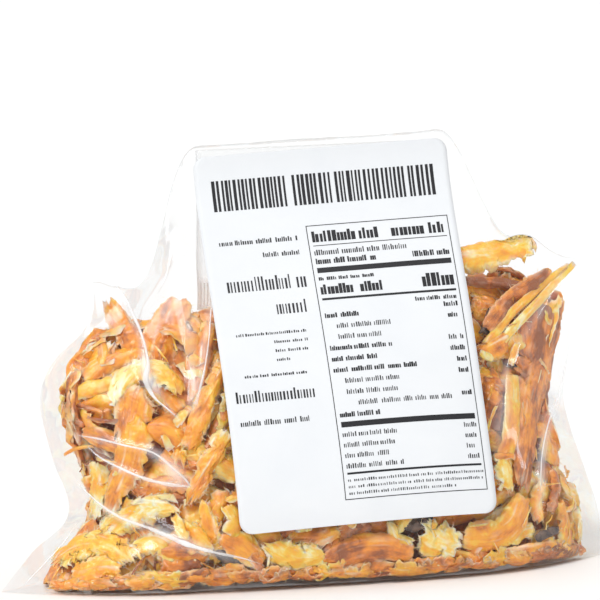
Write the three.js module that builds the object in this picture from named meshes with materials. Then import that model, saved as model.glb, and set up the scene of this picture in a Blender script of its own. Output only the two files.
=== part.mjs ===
// A clear film bag of dried cod bits, sealed, standing on its flat base, with a paper label on its front.
//
// The bag is one sheet of film, folded and sealed along its sides: a front face and a back face that meet in the
// side folds and along the top. The bits fill it to about two thirds of its height. Above them the empty film is
// held up by the stiff label, and it sinks to both shoulders. Its end is folded over the back as a flap.
// The bag is modelled as the closed solid that the film encloses. The label is a curved sheet a little way off it.
//
// Millimetres. +X runs along the bag's width, +Y from the front to the back and +Z up.
// The origin is the middle of the base.
import * as THREE from "three";
import { mergeVertices } from "three/addons/utils/BufferGeometryUtils.js";

// ---- driving dimensions ----
const BASE_WIDTH = 240; // from the tip of one bottom corner to the tip of the other
const BASE_HALF_DEPTH = 36;
const BELLY_HALF_DEPTH = 45; // where the bits push the film out furthest
const BASE_ROUND = 12; // height over which the film curves from the base into the faces
const FILL_HEIGHT = 124; // of the heap of bits
const FIN_HALF_DEPTH = 1.5; // of the empty film above the heap
const FIN_SETBACK = 9; // how far the top of the empty film stands behind the middle of the base
const SHOULDER_HEIGHT = 118;
const SHOULDER_SLOPE = 0.03; // the heap is a little higher on the right
const HEADER_RISE = 54; // from the shoulders to the top of the film behind the label
const HEADER_FROM = { low: -62, high: -36 }; // the film climbs from the left shoulder between these widths
const HEADER_TO = { high: 62, low: 88 }; // and sinks to the right shoulder between these
const FLAP_LENGTH = 68; // of the end folded over the back
const FLAP_STEP = 1.4; // the folded film and the air under it

// Bits that stand up at the heap's edge and lift the film like tent poles.
const TENTS = [
  { x: -78, lift: 4, spread: 7 },
  { x: -46, lift: 3, spread: 7 },
  { x: 78, lift: 6, spread: 12 },
  { x: 94, lift: 10, spread: 10 },
];

// The side folds, from the corner of the base up to the shoulder: width and height.
const LEFT_FOLD = [
  [-BASE_WIDTH / 2, 0],
  [-107, 15],
  [-92, 29],
  [-98, 52],
  [-102, 73],
  [-96, 89],
  [-81, 103],
  [-79, 119],
];
const RIGHT_FOLD = [
  [BASE_WIDTH / 2, 0],
  [119, 18],
  [114, 36],
  [108, 56],
  [107, 70],
  [111, 88],
  [115, 104],
  [115, 119],
];

const LABEL = {
  width: 101.6,
  height: 152.4,
  corner: 5,
  thickness: 0.5,
  gap: 0.45, // between the bag's face and the label's back
  foot: { x: 18.6, z: 25 }, // middle of the lower edge
  turn: THREE.MathUtils.degToRad(2), // anticlockwise, seen from the front
};

// Grid of the faces.
const COLUMNS = 52;
const ROWS = 34;

// Bits that press on a face, as low ridges lying every way.
const PRESSED = { count: 30, height: 2.6, length: 26, width: 8 };

// ---- helpers ----
const smooth = THREE.MathUtils.smoothstep;
const lerp = THREE.MathUtils.lerp;
const bump = (distance, spread) => Math.exp(-((distance / spread) ** 2));

const foldCurve = (points) =>
  new THREE.SplineCurve(points.map(([x, z]) => new THREE.Vector2(x, z)));
const leftFold = foldCurve(LEFT_FOLD);
const rightFold = foldCurve(RIGHT_FOLD);

// What the header and the tents add to the height of the film's top edge.
function topRise(x) {
  const header =
    HEADER_RISE *
    smooth(x, HEADER_FROM.low, HEADER_FROM.high) *
    (1 - smooth(x, HEADER_TO.high, HEADER_TO.low));
  const tents = TENTS.reduce(
    (sum, tent) => sum + tent.lift * bump(x - tent.x, tent.spread),
    0,
  );
  return header + tents;
}
const topHeight = (x) => SHOULDER_HEIGHT + SHOULDER_SLOPE * x + topRise(x);

// Height of a point that is a share up the film, below a width of the top edge. Nearly all that the header and the
// tents add is near the top, so that the heap below is not drawn up with them.
const heightUnder = (x, up) => (SHOULDER_HEIGHT + SHOULDER_SLOPE * x) * up + topRise(x) * up ** 3;

// Where a point of the flat film lies when the bag is seen from the front. across runs from -1 at the left fold
// to 1 at the right one, and up from 0 at the base to 1 at the top. It blends the four edges.
function facePoint(across, up) {
  const share = (across + 1) / 2;
  const left = leftFold.getPoint(up);
  const right = rightFold.getPoint(up);
  const leftTop = LEFT_FOLD.at(-1)[0];
  const rightTop = RIGHT_FOLD.at(-1)[0];
  const topX = lerp(leftTop, rightTop, share);
  const middleX = lerp((across * BASE_WIDTH) / 2, topX, up);
  const point = new THREE.Vector2(middleX, heightUnder(topX, up));
  const corners = new THREE.Vector2(
    middleX,
    lerp(heightUnder(leftTop, up), heightUnder(rightTop, up), share),
  );
  const sides = left.clone().lerp(right, share);
  return point.add(sides).sub(corners);
}

// Half the bag's depth in its middle, at a height: a rounded foot, a belly, and a heap that thins out to the fin.
function halfDepth(z) {
  const foot = Math.min(z / BASE_ROUND, 1);
  const flare = Math.sqrt(1 - (1 - foot) ** 2);
  const belly = lerp(BASE_HALF_DEPTH, BELLY_HALF_DEPTH, flare);
  const heap = 1 - smooth(z, FILL_HEIGHT * 0.18, FILL_HEIGHT * 1.32);
  return FIN_HALF_DEPTH + (belly - FIN_HALF_DEPTH) * heap;
}

// The share of that depth which is left towards the side folds: nearly flat faces, then a thin margin of film.
function taper(across) {
  return (1 - Math.abs(across) ** 4) ** 1.1;
}

// The share that is left towards the top edge, where both faces meet.
function crown(up) {
  return Math.min(1, ((1 - up) / 0.16) ** 0.85);
}

const setback = (z) => FIN_SETBACK * smooth(z, 90, 175);

// ---- the label's place on the front ----
// A point of the flat label, from the middle of its lower edge, as width and height on the bag. Its height along
// the paper is longer than its height above the table, because the bag's front leans back.
function labelOnFace(u, v) {
  const steps = 24;
  const x = LABEL.foot.x + u * Math.cos(LABEL.turn) - v * Math.sin(LABEL.turn);
  const along = v * Math.cos(LABEL.turn) + u * Math.sin(LABEL.turn);
  let z = LABEL.foot.z;
  for (let i = 0; i < steps; i++) {
    const slope = smoothFront(z + 0.5) - smoothFront(z - 0.5);
    z += along / steps / Math.hypot(1, slope);
  }
  return { x, z };
}

// The front's depth in the bag's middle, at a height.
function smoothFront(z) {
  return setback(z) - halfDepth(z);
}

// How far a point lies inside the label's outline, from 0 outside it to 1 well inside. Ridges fade out there.
function underLabel(x, z) {
  const low = labelOnFace(0, 0);
  const high = labelOnFace(0, LABEL.height);
  const share = (z - low.z) / (high.z - low.z);
  const centre = lerp(low.x, high.x, share);
  const margin = 12;
  const beside = LABEL.width / 2 + margin - Math.abs(x - centre);
  const above = z - low.z + margin;
  return smooth(Math.min(beside, above), 0, margin);
}

// ---- the bag ----
// Ridges where bits press on the film. The golden ratio spreads them evenly over the face.
function ridges(x, z, seed) {
  const golden = (Math.sqrt(5) - 1) / 2;
  let sum = 0;
  for (let i = 1; i <= PRESSED.count; i++) {
    const centreX = ((i * golden + seed) % 1) * 210 - 103;
    const centreZ = 12 + (((i * golden * golden + seed * 3) % 1) * 0.86) * FILL_HEIGHT;
    const angle = i * 2.4 + seed;
    const dx = x - centreX;
    const dz = z - centreZ;
    const along = dx * Math.cos(angle) + dz * Math.sin(angle);
    const beside = dz * Math.cos(angle) - dx * Math.sin(angle);
    sum += bump(along, PRESSED.length) * bump(beside, PRESSED.width);
  }
  return PRESSED.height * Math.min(sum, 1.4);
}

const FRONT = { side: -1, seed: 0.31 };
const BACK = { side: 1, seed: 0.77 };

// Depth of a face at a point: the half depth, its ridges and, on the back, the folded flap.
function faceDepth(face, across, up, x, z) {
  const open = taper(across) * crown(up);
  const pressed = smooth(z, 4, 20) * (1 - smooth(z, FILL_HEIGHT - 16, FILL_HEIGHT + 4));
  const bare = face === FRONT ? 1 - underLabel(x, z) : 1;
  const flap =
    face === BACK
      ? FLAP_STEP * smooth(z, topHeight(x) - FLAP_LENGTH - 3, topHeight(x) - FLAP_LENGTH)
      : 0;
  const out = halfDepth(z) + ridges(x, z, face.seed) * pressed * bare + flap;
  return setback(z) + face.side * out * open;
}

function bagGeometry() {
  const positions = [];
  const index = [];
  const columnAt = (i) => Math.sin((Math.PI / 2) * ((2 * i) / COLUMNS - 1)); // closer together at the folds
  const rowAt = (j) => (j / ROWS) ** 1.15; // and at the foot
  const faces = [FRONT, BACK].map((face) => {
    const first = positions.length / 3;
    for (let j = 0; j <= ROWS; j++)
      for (let i = 0; i <= COLUMNS; i++) {
        const across = columnAt(i);
        const up = rowAt(j);
        const point = facePoint(across, up);
        const z = j === 0 ? 0 : point.y;
        positions.push(point.x, faceDepth(face, across, up, point.x, z), z);
      }
    return (i, j) => first + j * (COLUMNS + 1) + i;
  });
  const [front, back] = faces;
  for (let j = 0; j < ROWS; j++)
    for (let i = 0; i < COLUMNS; i++) {
      index.push(front(i, j), front(i + 1, j), front(i + 1, j + 1));
      index.push(front(i, j), front(i + 1, j + 1), front(i, j + 1));
      index.push(back(i + 1, j), back(i, j), back(i, j + 1));
      index.push(back(i + 1, j), back(i, j + 1), back(i + 1, j + 1));
    }
  for (let i = 0; i < COLUMNS; i++) {
    index.push(back(i, 0), back(i + 1, 0), front(i + 1, 0));
    index.push(back(i, 0), front(i + 1, 0), front(i, 0));
  }
  return closed(positions, index);
}

// Welds the shared edges and drops the triangles that they close up.
function closed(positions, index) {
  const raw = new THREE.BufferGeometry();
  raw.setAttribute("position", new THREE.Float32BufferAttribute(positions, 3));
  raw.setIndex(index);
  const welded = mergeVertices(raw, 1e-3);
  const kept = [];
  const corners = welded.index.array;
  for (let k = 0; k < corners.length; k += 3) {
    const [a, b, c] = corners.slice(k, k + 3);
    if (a !== b && b !== c && c !== a) kept.push(a, b, c);
  }
  welded.setIndex(kept);
  welded.computeVertexNormals();
  return welded;
}

// ---- the label ----
// Half the label's width at a height: its corners are round.
function labelHalfWidth(v) {
  const inset = Math.min(v, LABEL.height - v);
  const short = Math.max(0, LABEL.corner - inset);
  return LABEL.width / 2 - LABEL.corner + Math.sqrt(LABEL.corner ** 2 - short ** 2);
}

function labelGeometry() {
  const columns = 16;
  const cornerSteps = 4;
  const heights = [];
  for (let k = 0; k <= cornerSteps; k++) {
    const angle = (Math.PI / 2) * (k / cornerSteps);
    heights.push(LABEL.corner * (1 - Math.cos(angle)));
  }
  const straight = 20;
  for (let k = 1; k < straight; k++)
    heights.push(lerp(LABEL.corner, LABEL.height - LABEL.corner, k / straight));
  for (let k = cornerSteps; k >= 0; k--) heights.push(LABEL.height - heights[k]);

  const positions = [];
  for (const out of [LABEL.gap + LABEL.thickness, LABEL.gap])
    for (const v of heights)
      for (let i = 0; i <= columns; i++) {
        const u = labelHalfWidth(v) * ((2 * i) / columns - 1);
        const { x, z } = labelOnFace(u, v);
        positions.push(x, labelDepth(x, z) - out, z);
      }
  const rows = heights.length;
  const at = (layer, j, i) => (layer * rows + j) * (columns + 1) + i;
  const index = [];
  const quad = (a, b, c, d) => index.push(a, b, c, a, c, d);
  for (let j = 0; j < rows - 1; j++) {
    for (let i = 0; i < columns; i++) {
      quad(at(0, j, i), at(0, j, i + 1), at(0, j + 1, i + 1), at(0, j + 1, i));
      quad(at(1, j, i + 1), at(1, j, i), at(1, j + 1, i), at(1, j + 1, i + 1));
    }
    quad(at(1, j, 0), at(0, j, 0), at(0, j + 1, 0), at(1, j + 1, 0));
    quad(at(0, j, columns), at(1, j, columns), at(1, j + 1, columns), at(0, j + 1, columns));
  }
  for (let i = 0; i < columns; i++) {
    quad(at(1, 0, i), at(1, 0, i + 1), at(0, 0, i + 1), at(0, 0, i));
    quad(at(0, rows - 1, i), at(0, rows - 1, i + 1), at(1, rows - 1, i + 1), at(1, rows - 1, i));
  }
  return closed(positions, index);
}

// The depth of the face under the label: the front without its ridges, found where the flat film has that width
// and height.
function labelDepth(x, z) {
  let across = x / (BASE_WIDTH / 2);
  let up = z / topHeight(x);
  for (let step = 0; step < 12; step++) {
    const point = facePoint(across, up);
    across += (x - point.x) / (BASE_WIDTH / 2);
    up = Math.min(up + (z - point.y) / topHeight(x), 1);
  }
  return setback(z) - halfDepth(z) * taper(across) * crown(up);
}

// ---- assembly ----
const film = new THREE.MeshStandardMaterial({ color: 0xc98f45, roughness: 0.25, metalness: 0 });
const paper = new THREE.MeshStandardMaterial({ color: 0xf6f7f9, roughness: 0.6, metalness: 0 });

const bag = new THREE.Mesh(bagGeometry(), film);
bag.name = "bag";
const label = new THREE.Mesh(labelGeometry(), paper);
label.name = "label";

const pack = new THREE.Group();
pack.add(bag, label);

// The origin is the middle of the base of the box round the pack.
const box = new THREE.Box3().setFromObject(pack);
pack.position.set(-(box.min.x + box.max.x) / 2, -(box.min.y + box.max.y) / 2, -box.min.z);

export default pack;
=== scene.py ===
"""A sealed clear film bag of dried cod bits, standing on its base, with a printed paper label on its front.

The sections follow the pack as it is put together: studio, shape of the film, core of the heap, bits, loose
fibres and crumbs, film, folded end, label, print.
Tables and helpers work in millimetres; meshes are made in metres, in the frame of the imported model.
"""
import math

import bmesh
import bpy
import numpy as np
from mathutils import Matrix, Vector
from mathutils.bvhtree import BVHTree


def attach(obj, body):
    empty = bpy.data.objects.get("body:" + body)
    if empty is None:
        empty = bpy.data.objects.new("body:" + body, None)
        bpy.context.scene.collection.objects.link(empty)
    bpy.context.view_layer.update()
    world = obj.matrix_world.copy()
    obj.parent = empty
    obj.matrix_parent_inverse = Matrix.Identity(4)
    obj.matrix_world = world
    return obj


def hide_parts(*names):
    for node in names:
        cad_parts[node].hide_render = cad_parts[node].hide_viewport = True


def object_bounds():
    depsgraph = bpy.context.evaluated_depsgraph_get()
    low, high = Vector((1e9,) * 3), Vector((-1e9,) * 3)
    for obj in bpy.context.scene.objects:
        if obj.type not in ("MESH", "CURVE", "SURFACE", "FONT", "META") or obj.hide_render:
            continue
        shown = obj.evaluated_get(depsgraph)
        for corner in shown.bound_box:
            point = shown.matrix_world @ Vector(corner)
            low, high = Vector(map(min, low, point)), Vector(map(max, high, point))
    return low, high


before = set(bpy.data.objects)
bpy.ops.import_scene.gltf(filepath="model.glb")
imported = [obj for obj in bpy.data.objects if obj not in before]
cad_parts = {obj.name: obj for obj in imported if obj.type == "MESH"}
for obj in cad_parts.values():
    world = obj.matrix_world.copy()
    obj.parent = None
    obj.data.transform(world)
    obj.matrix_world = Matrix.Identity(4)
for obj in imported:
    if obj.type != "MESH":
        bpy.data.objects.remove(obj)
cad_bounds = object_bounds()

# ---------------------------------------------------------------------------------------------------------
# Studio: a white table that runs out to a white room, a big soft light high on the left of the front, a
# narrow one at the right and a wide one from above, a sun through a window, and a long lens from the
# front.
# ---------------------------------------------------------------------------------------------------------
MM = 0.001
scene = bpy.context.scene


def linear(hex_colour):
    """An sRGB hex value as the linear colour that shaders take."""
    parts = [int(hex_colour[i:i + 2], 16) / 255 for i in (1, 3, 5)]
    return tuple(c / 12.92 if c <= 0.04045 else ((c + 0.055) / 1.055) ** 2.4 for c in parts) + (1.0,)


def new_material(name):
    """An empty node material: (material, its tree, its output node)."""
    material = bpy.data.materials.new(name)
    material.use_nodes = True
    material.node_tree.nodes.clear()
    return material, material.node_tree, material.node_tree.nodes.new("ShaderNodeOutputMaterial")


def add(tree, kind, settings=(), **links):
    """Adds a node. Settings name its properties or its inputs; links feed inputs, with _ for a space."""
    node = tree.nodes.new(kind)
    for key, value in dict(settings).items():
        if isinstance(key, int) or key in node.inputs:
            node.inputs[key].default_value = value
        else:
            setattr(node, key, value)
    for key, socket in links.items():
        name = key.replace("_", " ")
        tree.links.new(socket, node.inputs[int(name[1:]) if name[0] == "i" and name[1:].isdigit() else name])
    return node


table_white, tree, out = new_material("table_white_laminate")
shade = add(tree, "ShaderNodeBsdfPrincipled", {"Base Color": linear("#f6f6f5"), "Roughness": 0.6,
                                               "Specular IOR Level": 0.2})
tree.links.new(shade.outputs[0], out.inputs[0])
bpy.ops.mesh.primitive_plane_add(size=300, location=(0, 0, cad_bounds[0][2] - 0.2 * MM))
table = bpy.context.object
table.name = "table"
table.data.materials.append(table_white)

world = bpy.data.worlds.new("white_room")
scene.world = world
world.use_nodes = True
world.node_tree.nodes["Background"].inputs[0].default_value = (1, 1, 1, 1)
world.node_tree.nodes["Background"].inputs[1].default_value = 0.82


def soft_light(name, place, aim, size, watts):
    """A rectangular soft box at place that faces aim; size in metres."""
    lamp = bpy.data.lights.new(name, "AREA")
    lamp.shape = "RECTANGLE"
    lamp.size, lamp.size_y = size
    lamp.energy = watts
    holder = bpy.data.objects.new(name, lamp)
    scene.collection.objects.link(holder)
    holder.location = place
    holder.visible_diffuse = False  # the soft boxes only draw glints; sun and room light the rest
    holder.rotation_euler = (Vector(aim) - Vector(place)).to_track_quat("-Z", "Y").to_euler()


LIGHT_AIM = (0, 0, 0.08)  # the middle of the heap
soft_light("key_box", (-1.35, -0.85, 1.05), LIGHT_AIM, (0.32, 0.7), 9)
soft_light("top_box", (-0.1, -0.8, 1.6), LIGHT_AIM, (0.9, 0.2), 7)
soft_light("side_strip", (1.4, -0.55, 0.6), LIGHT_AIM, (0.12, 0.8), 4.5)
sun = bpy.data.lights.new("window_light", "SUN")
sun.energy = 1.5
sun.angle = math.radians(22)
sun_holder = bpy.data.objects.new("window_light", sun)
scene.collection.objects.link(sun_holder)
sun_holder.rotation_euler = Vector((0.42, 0.5, -0.78)).to_track_quat("-Z", "Y").to_euler()

VIEW = {"azimuth": math.radians(-10), "elevation": math.radians(5), "roll": math.radians(-2.1)}
VIEW_DISTANCE = 1.8
VIEW_TARGET = Vector((2.3, 0, 107.8)) * MM
VIEW_WIDTH = 235.2 * MM  # what the lens takes in at the target
SENSOR_WIDTH = 36
back = Vector((
    math.sin(VIEW["azimuth"]) * math.cos(VIEW["elevation"]),
    -math.cos(VIEW["azimuth"]) * math.cos(VIEW["elevation"]),
    math.sin(VIEW["elevation"]),
))
level = (-back).cross(Vector((0, 0, 1))).normalized()
upright = level.cross(-back)
roll_cos, roll_sin = math.cos(VIEW["roll"]), math.sin(VIEW["roll"])
right, up = level * roll_cos + upright * roll_sin, upright * roll_cos - level * roll_sin
lens = bpy.data.cameras.new("long_lens")
lens.sensor_width = SENSOR_WIDTH
lens.lens = SENSOR_WIDTH * VIEW_DISTANCE / VIEW_WIDTH
lens.clip_start, lens.clip_end = 0.05, 50
camera = bpy.data.objects.new("camera", lens)
scene.collection.objects.link(camera)
camera.matrix_world = Matrix((
    (right.x, up.x, back.x, VIEW_TARGET.x + back.x * VIEW_DISTANCE),
    (right.y, up.y, back.y, VIEW_TARGET.y + back.y * VIEW_DISTANCE),
    (right.z, up.z, back.z, VIEW_TARGET.z + back.z * VIEW_DISTANCE),
    (0, 0, 0, 1),
))
scene.camera = camera
scene.view_settings.view_transform = "Standard"
scene.cycles.transparent_max_bounces = 32  # light passes many layers of film on its way to the label's back

# ---------------------------------------------------------------------------------------------------------
# Shape of the film: the modelled bag, rounded, with its sharp folds kept. The bits are laid out inside it;
# the film itself is finished after them.
# ---------------------------------------------------------------------------------------------------------
# The neck, where the film leaves the left end of the heap, in millimetres.
NECK = {"left": -90, "right": -44, "low": 84, "high": 132, "back": -6}
SHARP_FOLD = math.radians(55)
film_mesh = bmesh.new()
film_mesh.from_mesh(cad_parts["bag"].data)
bmesh.ops.remove_doubles(film_mesh, verts=film_mesh.verts, dist=0.01 * MM)
bmesh.ops.join_triangles(film_mesh, faces=film_mesh.faces, angle_face_threshold=math.radians(60),
                         angle_shape_threshold=math.radians(70))
crease_layer = film_mesh.edges.layers.float.new("crease_edge")
folds = set()
for edge in film_mesh.edges:
    spot = (edge.verts[0].co + edge.verts[1].co) / (2 * MM)
    on_neck = (NECK["left"] < spot.x < NECK["right"] and NECK["low"] < spot.z < NECK["high"]
               and spot.y < NECK["back"])
    if len(edge.link_faces) == 2 and edge.calc_face_angle() > SHARP_FOLD and not on_neck:
        edge[crease_layer] = 0.9
        folds.update(edge.verts)


def relax(verts, times):
    """Evens out slack film; the folds and the base stay."""
    for _ in range(times):
        bmesh.ops.smooth_vert(film_mesh, verts=verts, factor=0.5,
                              use_axis_x=True, use_axis_y=True, use_axis_z=True)


slack = [v for v in film_mesh.verts if v not in folds and v.co.z > 0.5 * MM]
relax(slack, 5)
neck = [v for v in slack if NECK["left"] * MM < v.co.x < NECK["right"] * MM
        and NECK["low"] * MM < v.co.z < NECK["high"] * MM]
relax(neck, 12)  # the film runs over from the heap to the folded end in one slack curve
film_data = bpy.data.meshes.new("film")
film_mesh.to_mesh(film_data)
film = bpy.data.objects.new("film", film_data)
scene.collection.objects.link(film)
finer = film.modifiers.new("finer", "SUBSURF")
finer.levels = finer.render_levels = 2
smooth_film = bpy.data.meshes.new_from_object(film.evaluated_get(bpy.context.evaluated_depsgraph_get()))
film.modifiers.clear()
film.data = smooth_film
shell = bmesh.new()
shell.from_mesh(smooth_film)
wall = BVHTree.FromBMesh(shell)  # what the bits lie inside

# ---------------------------------------------------------------------------------------------------------
# Core of the heap: bits that lie too deep to be told apart. Dried fish, packed down by hand. It fills the
# bag to a finger's width from the film, and lumps and clefts run over it.
# ---------------------------------------------------------------------------------------------------------
def hash_noise(points, seed):
    """Smooth value noise from -1 to 1, one cell to a unit; points is any array of x, y, z."""
    cell = np.floor(points).astype(np.int64)
    part = points - cell
    part = part * part * (3 - 2 * part)
    total = 0
    for corner in range(8):
        step = np.array([(corner >> k) & 1 for k in range(3)])
        q = cell + step
        h = (q[..., 0] * 374761393 + q[..., 1] * 668265263 + q[..., 2] * 2246822519 + seed * 1274126177)
        h = h & 0xFFFFFFFF
        h = ((h ^ (h >> 13)) * 1274126177) & 0xFFFFFFFF
        h = (h ^ (h >> 16)) & 0xFFFF
        total = total + np.prod(np.where(step, part, 1 - part), axis=-1) * (h / 32767.5 - 1)
    return total


def noise(seed, *axes):
    """hash_noise over up to three broadcast axes."""
    filled = list(axes) + [np.zeros(1) + 0.5] * (3 - len(axes))
    return hash_noise(np.stack(np.broadcast_arrays(*filled), axis=-1), seed)


def make_object(name, points, faces, material, attributes=None, smooth=True):
    """A mesh piece from points in millimetres, with point attributes: name -> numbers or vectors."""
    mesh = bpy.data.meshes.new(name)
    mesh.from_pydata((np.asarray(points) * MM).tolist(), [], [list(f) for f in faces])
    for key, values in (attributes or {}).items():
        flat = np.asarray(values, dtype=np.float32)
        layer = mesh.attributes.new(key, "FLOAT_VECTOR" if flat.ndim == 2 else "FLOAT", "POINT")
        layer.data.foreach_set("vector" if flat.ndim == 2 else "value", flat.ravel())
    mesh.materials.append(material)
    mesh.polygons.foreach_set("use_smooth", [smooth] * len(mesh.polygons))
    mesh.update()
    piece = bpy.data.objects.new(name, mesh)
    scene.collection.objects.link(piece)
    return piece


# Dried cod: lean white fish, salted and dried till it turns gold to red-brown and a little clear, like
# horn. Torn by hand along its fibres, so it has fine long lines, waxy faces and dull cream edges; the cream
# at the rims is also painted highlight, for thin torn edges catching the light.
dried_cod, tree, out = new_material("dried_cod")
lines = add(tree, "ShaderNodeAttribute", {"attribute_name": "fibre"})  # mm along, mm across, bit number
tone = add(tree, "ShaderNodeAttribute", {"attribute_name": "tone"})
pale = add(tree, "ShaderNodeAttribute", {"attribute_name": "pale"})
stretch = add(tree, "ShaderNodeVectorMath", {"operation": "MULTIPLY", 1: (1 / 14, 1 / 1.1, 1.0)},
              i0=lines.outputs["Vector"])  # fibre bundles are about 1 mm wide and 14 mm long
fibres = add(tree, "ShaderNodeTexNoise", {"Scale": 1.0, "Detail": 4.0, "Roughness": 0.65},
             Vector=stretch.outputs[0])
patch = add(tree, "ShaderNodeVectorMath", {"operation": "MULTIPLY", 1: (1 / 8, 1 / 5, 1.0)},
            i0=lines.outputs["Vector"])  # stains and fat marks, a fingertip wide
stains = add(tree, "ShaderNodeTexNoise", {"Scale": 1.0, "Detail": 3.0, "Roughness": 0.6},
             Vector=patch.outputs[0])
place = add(tree, "ShaderNodeTexCoord")
crinkle = add(tree, "ShaderNodeTexNoise", {"noise_type": "RIDGED_MULTIFRACTAL", "Scale": 250.0,
                                           "Detail": 3.5, "Roughness": 0.6, "Distortion": 0.9},
              Vector=place.outputs["Object"])  # wrinkles some 4 mm apart and finer ones in them
drift = add(tree, "ShaderNodeMath", {"operation": "MULTIPLY_ADD", 1: 1.15, 2: -0.57}, i0=stains.outputs[0])
line_drift = add(tree, "ShaderNodeMath", {"operation": "MULTIPLY_ADD", 1: 0.4, 2: -0.2},
                 i0=fibres.outputs[0])
# Lighter on the crests of the wrinkles: painted highlight, where the ridges would catch the light.
crest_painted_highlight = add(tree, "ShaderNodeMath", {"operation": "MULTIPLY_ADD", 1: -0.3, 2: 0.2},
                  i0=crinkle.outputs[0])
shifted = add(tree, "ShaderNodeMath", {"operation": "ADD"}, i0=tone.outputs["Fac"], i1=drift.outputs[0])
shifted = add(tree, "ShaderNodeMath", {"operation": "ADD"}, i0=shifted.outputs[0], i1=crest_painted_highlight.outputs[0])
shifted = add(tree, "ShaderNodeMath", {"operation": "ADD", "use_clamp": True},
              i0=shifted.outputs[0], i1=line_drift.outputs[0])
flesh = add(tree, "ShaderNodeValToRGB", (), Fac=shifted.outputs[0])
stops = [(0.0, "#fff4d8"), (0.15, "#ffe08c"), (0.32, "#ffc640"), (0.5, "#ffae32"), (0.7, "#ec9434"),
         (0.87, "#c87430"), (1.0, "#98562c")]
for n, (spot, colour) in enumerate(stops):
    stop = flesh.color_ramp.elements[n] if n < 2 else flesh.color_ramp.elements.new(spot)
    stop.position = spot
    stop.color = linear(colour)
cream_fray_and_highlight = add(tree, "ShaderNodeMix", {"data_type": "RGBA"}, i0=pale.outputs["Fac"], i6=flesh.outputs[0])
cream_fray_and_highlight.inputs[7].default_value = linear("#fff6e2")
rough = add(tree, "ShaderNodeMapRange", {"To Min": 0.22, "To Max": 0.55}, Value=stains.outputs[0])
heights = add(tree, "ShaderNodeMath", {"operation": "MULTIPLY_ADD", 1: 0.4},
              i0=fibres.outputs[0], i2=crinkle.outputs[0])
relief = add(tree, "ShaderNodeBump", {"Strength": 0.9, "Distance": 0.8 * MM}, Height=heights.outputs[0])
flesh_shade = add(tree, "ShaderNodeBsdfPrincipled",
                  {"IOR": 1.46, "Subsurface Weight": 0.4, "Subsurface Radius": (1.0, 0.45, 0.16),
                   "Subsurface Scale": 2.2 * MM, "Coat Weight": 0.4, "Coat Roughness": 0.14},
                  Base_Color=cream_fray_and_highlight.outputs[2], Roughness=rough.outputs[0], Normal=relief.outputs[0],
                  Coat_Normal=relief.outputs[0])
tree.links.new(flesh_shade.outputs[0], out.inputs[0])

CORE_LEVELS = np.linspace(3.5, 108, 30)
CORE_SPOKES = 120
CORE_SHARE = (0.87, 0.66)  # of the bag's section, in width and in depth
CORE_CAP = (92, 17)  # the core closes to a dome from this height on, over this much more height
core_points = []
for n, z in enumerate(CORE_LEVELS):
    closing = math.sqrt(max(0.0, 1 - max(0.0, (z - CORE_CAP[0]) / CORE_CAP[1]) ** 2))
    for k in range(CORE_SPOKES):
        turn = 2 * math.pi * k / CORE_SPOKES
        aim = Vector((math.cos(turn), math.sin(turn), 0))
        hit = wall.ray_cast(Vector((0, 0, max(z, 6.0) * MM)), aim)[0]
        core_points.append((hit.x / MM * CORE_SHARE[0] * closing, hit.y / MM * CORE_SHARE[1] * closing, z))
core_points = np.array(core_points + [(0, 0, CORE_LEVELS[0]), (0, 0, CORE_LEVELS[-1])])
core_lumps = 3.0 * noise(5, *(core_points / 11).T) + 1.4 * noise(6, *(core_points / 4).T)
core_out = core_points * (1, 1, 0)
core_out /= np.linalg.norm(core_out, axis=1, keepdims=True) + 1e-9
core_points = core_points + core_out * (core_lumps - 2.0)[:, None]
core_faces = []
for n in range(len(CORE_LEVELS) - 1):
    for k in range(CORE_SPOKES):
        a, b = n * CORE_SPOKES + k, n * CORE_SPOKES + (k + 1) % CORE_SPOKES
        core_faces.append((a, b, b + CORE_SPOKES, a + CORE_SPOKES))
core_low, core_high = len(core_points) - 2, len(core_points) - 1
last = (len(CORE_LEVELS) - 1) * CORE_SPOKES
for k in range(CORE_SPOKES):
    core_faces.append((core_low, (k + 1) % CORE_SPOKES, k))
    core_faces.append((core_high, last + k, last + (k + 1) % CORE_SPOKES))
core_fibre = np.stack([core_points[:, 2], core_points[:, 0] + core_points[:, 1],
                       np.full(len(core_points), 3.0)], axis=1)
# Darker orange-brown than the bits in front: painted shade, for the gaps between them.
core_tone_with_painted_shade = 0.7 + 0.2 * noise(8, *(core_points / 9).T)
core = make_object("bits_core", core_points, core_faces, dried_cod,
                   {"fibre": core_fibre, "tone": core_tone_with_painted_shade, "pale": np.zeros(len(core_points))})
finer = core.modifiers.new("finer", "SUBSURF")
finer.levels = finer.render_levels = 1
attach(core, "root")

# ---------------------------------------------------------------------------------------------------------
# The bits: strips, broad flakes, thick lumps and shreds of dried cod, and bits of dark skin. Each is torn
# off along the fibres: a bent, twisted, curled ribbon of flesh with ragged ends and thin frilled edges.
# ---------------------------------------------------------------------------------------------------------
FILM_GAP = 1.2  # from a bit's face to the film


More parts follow.
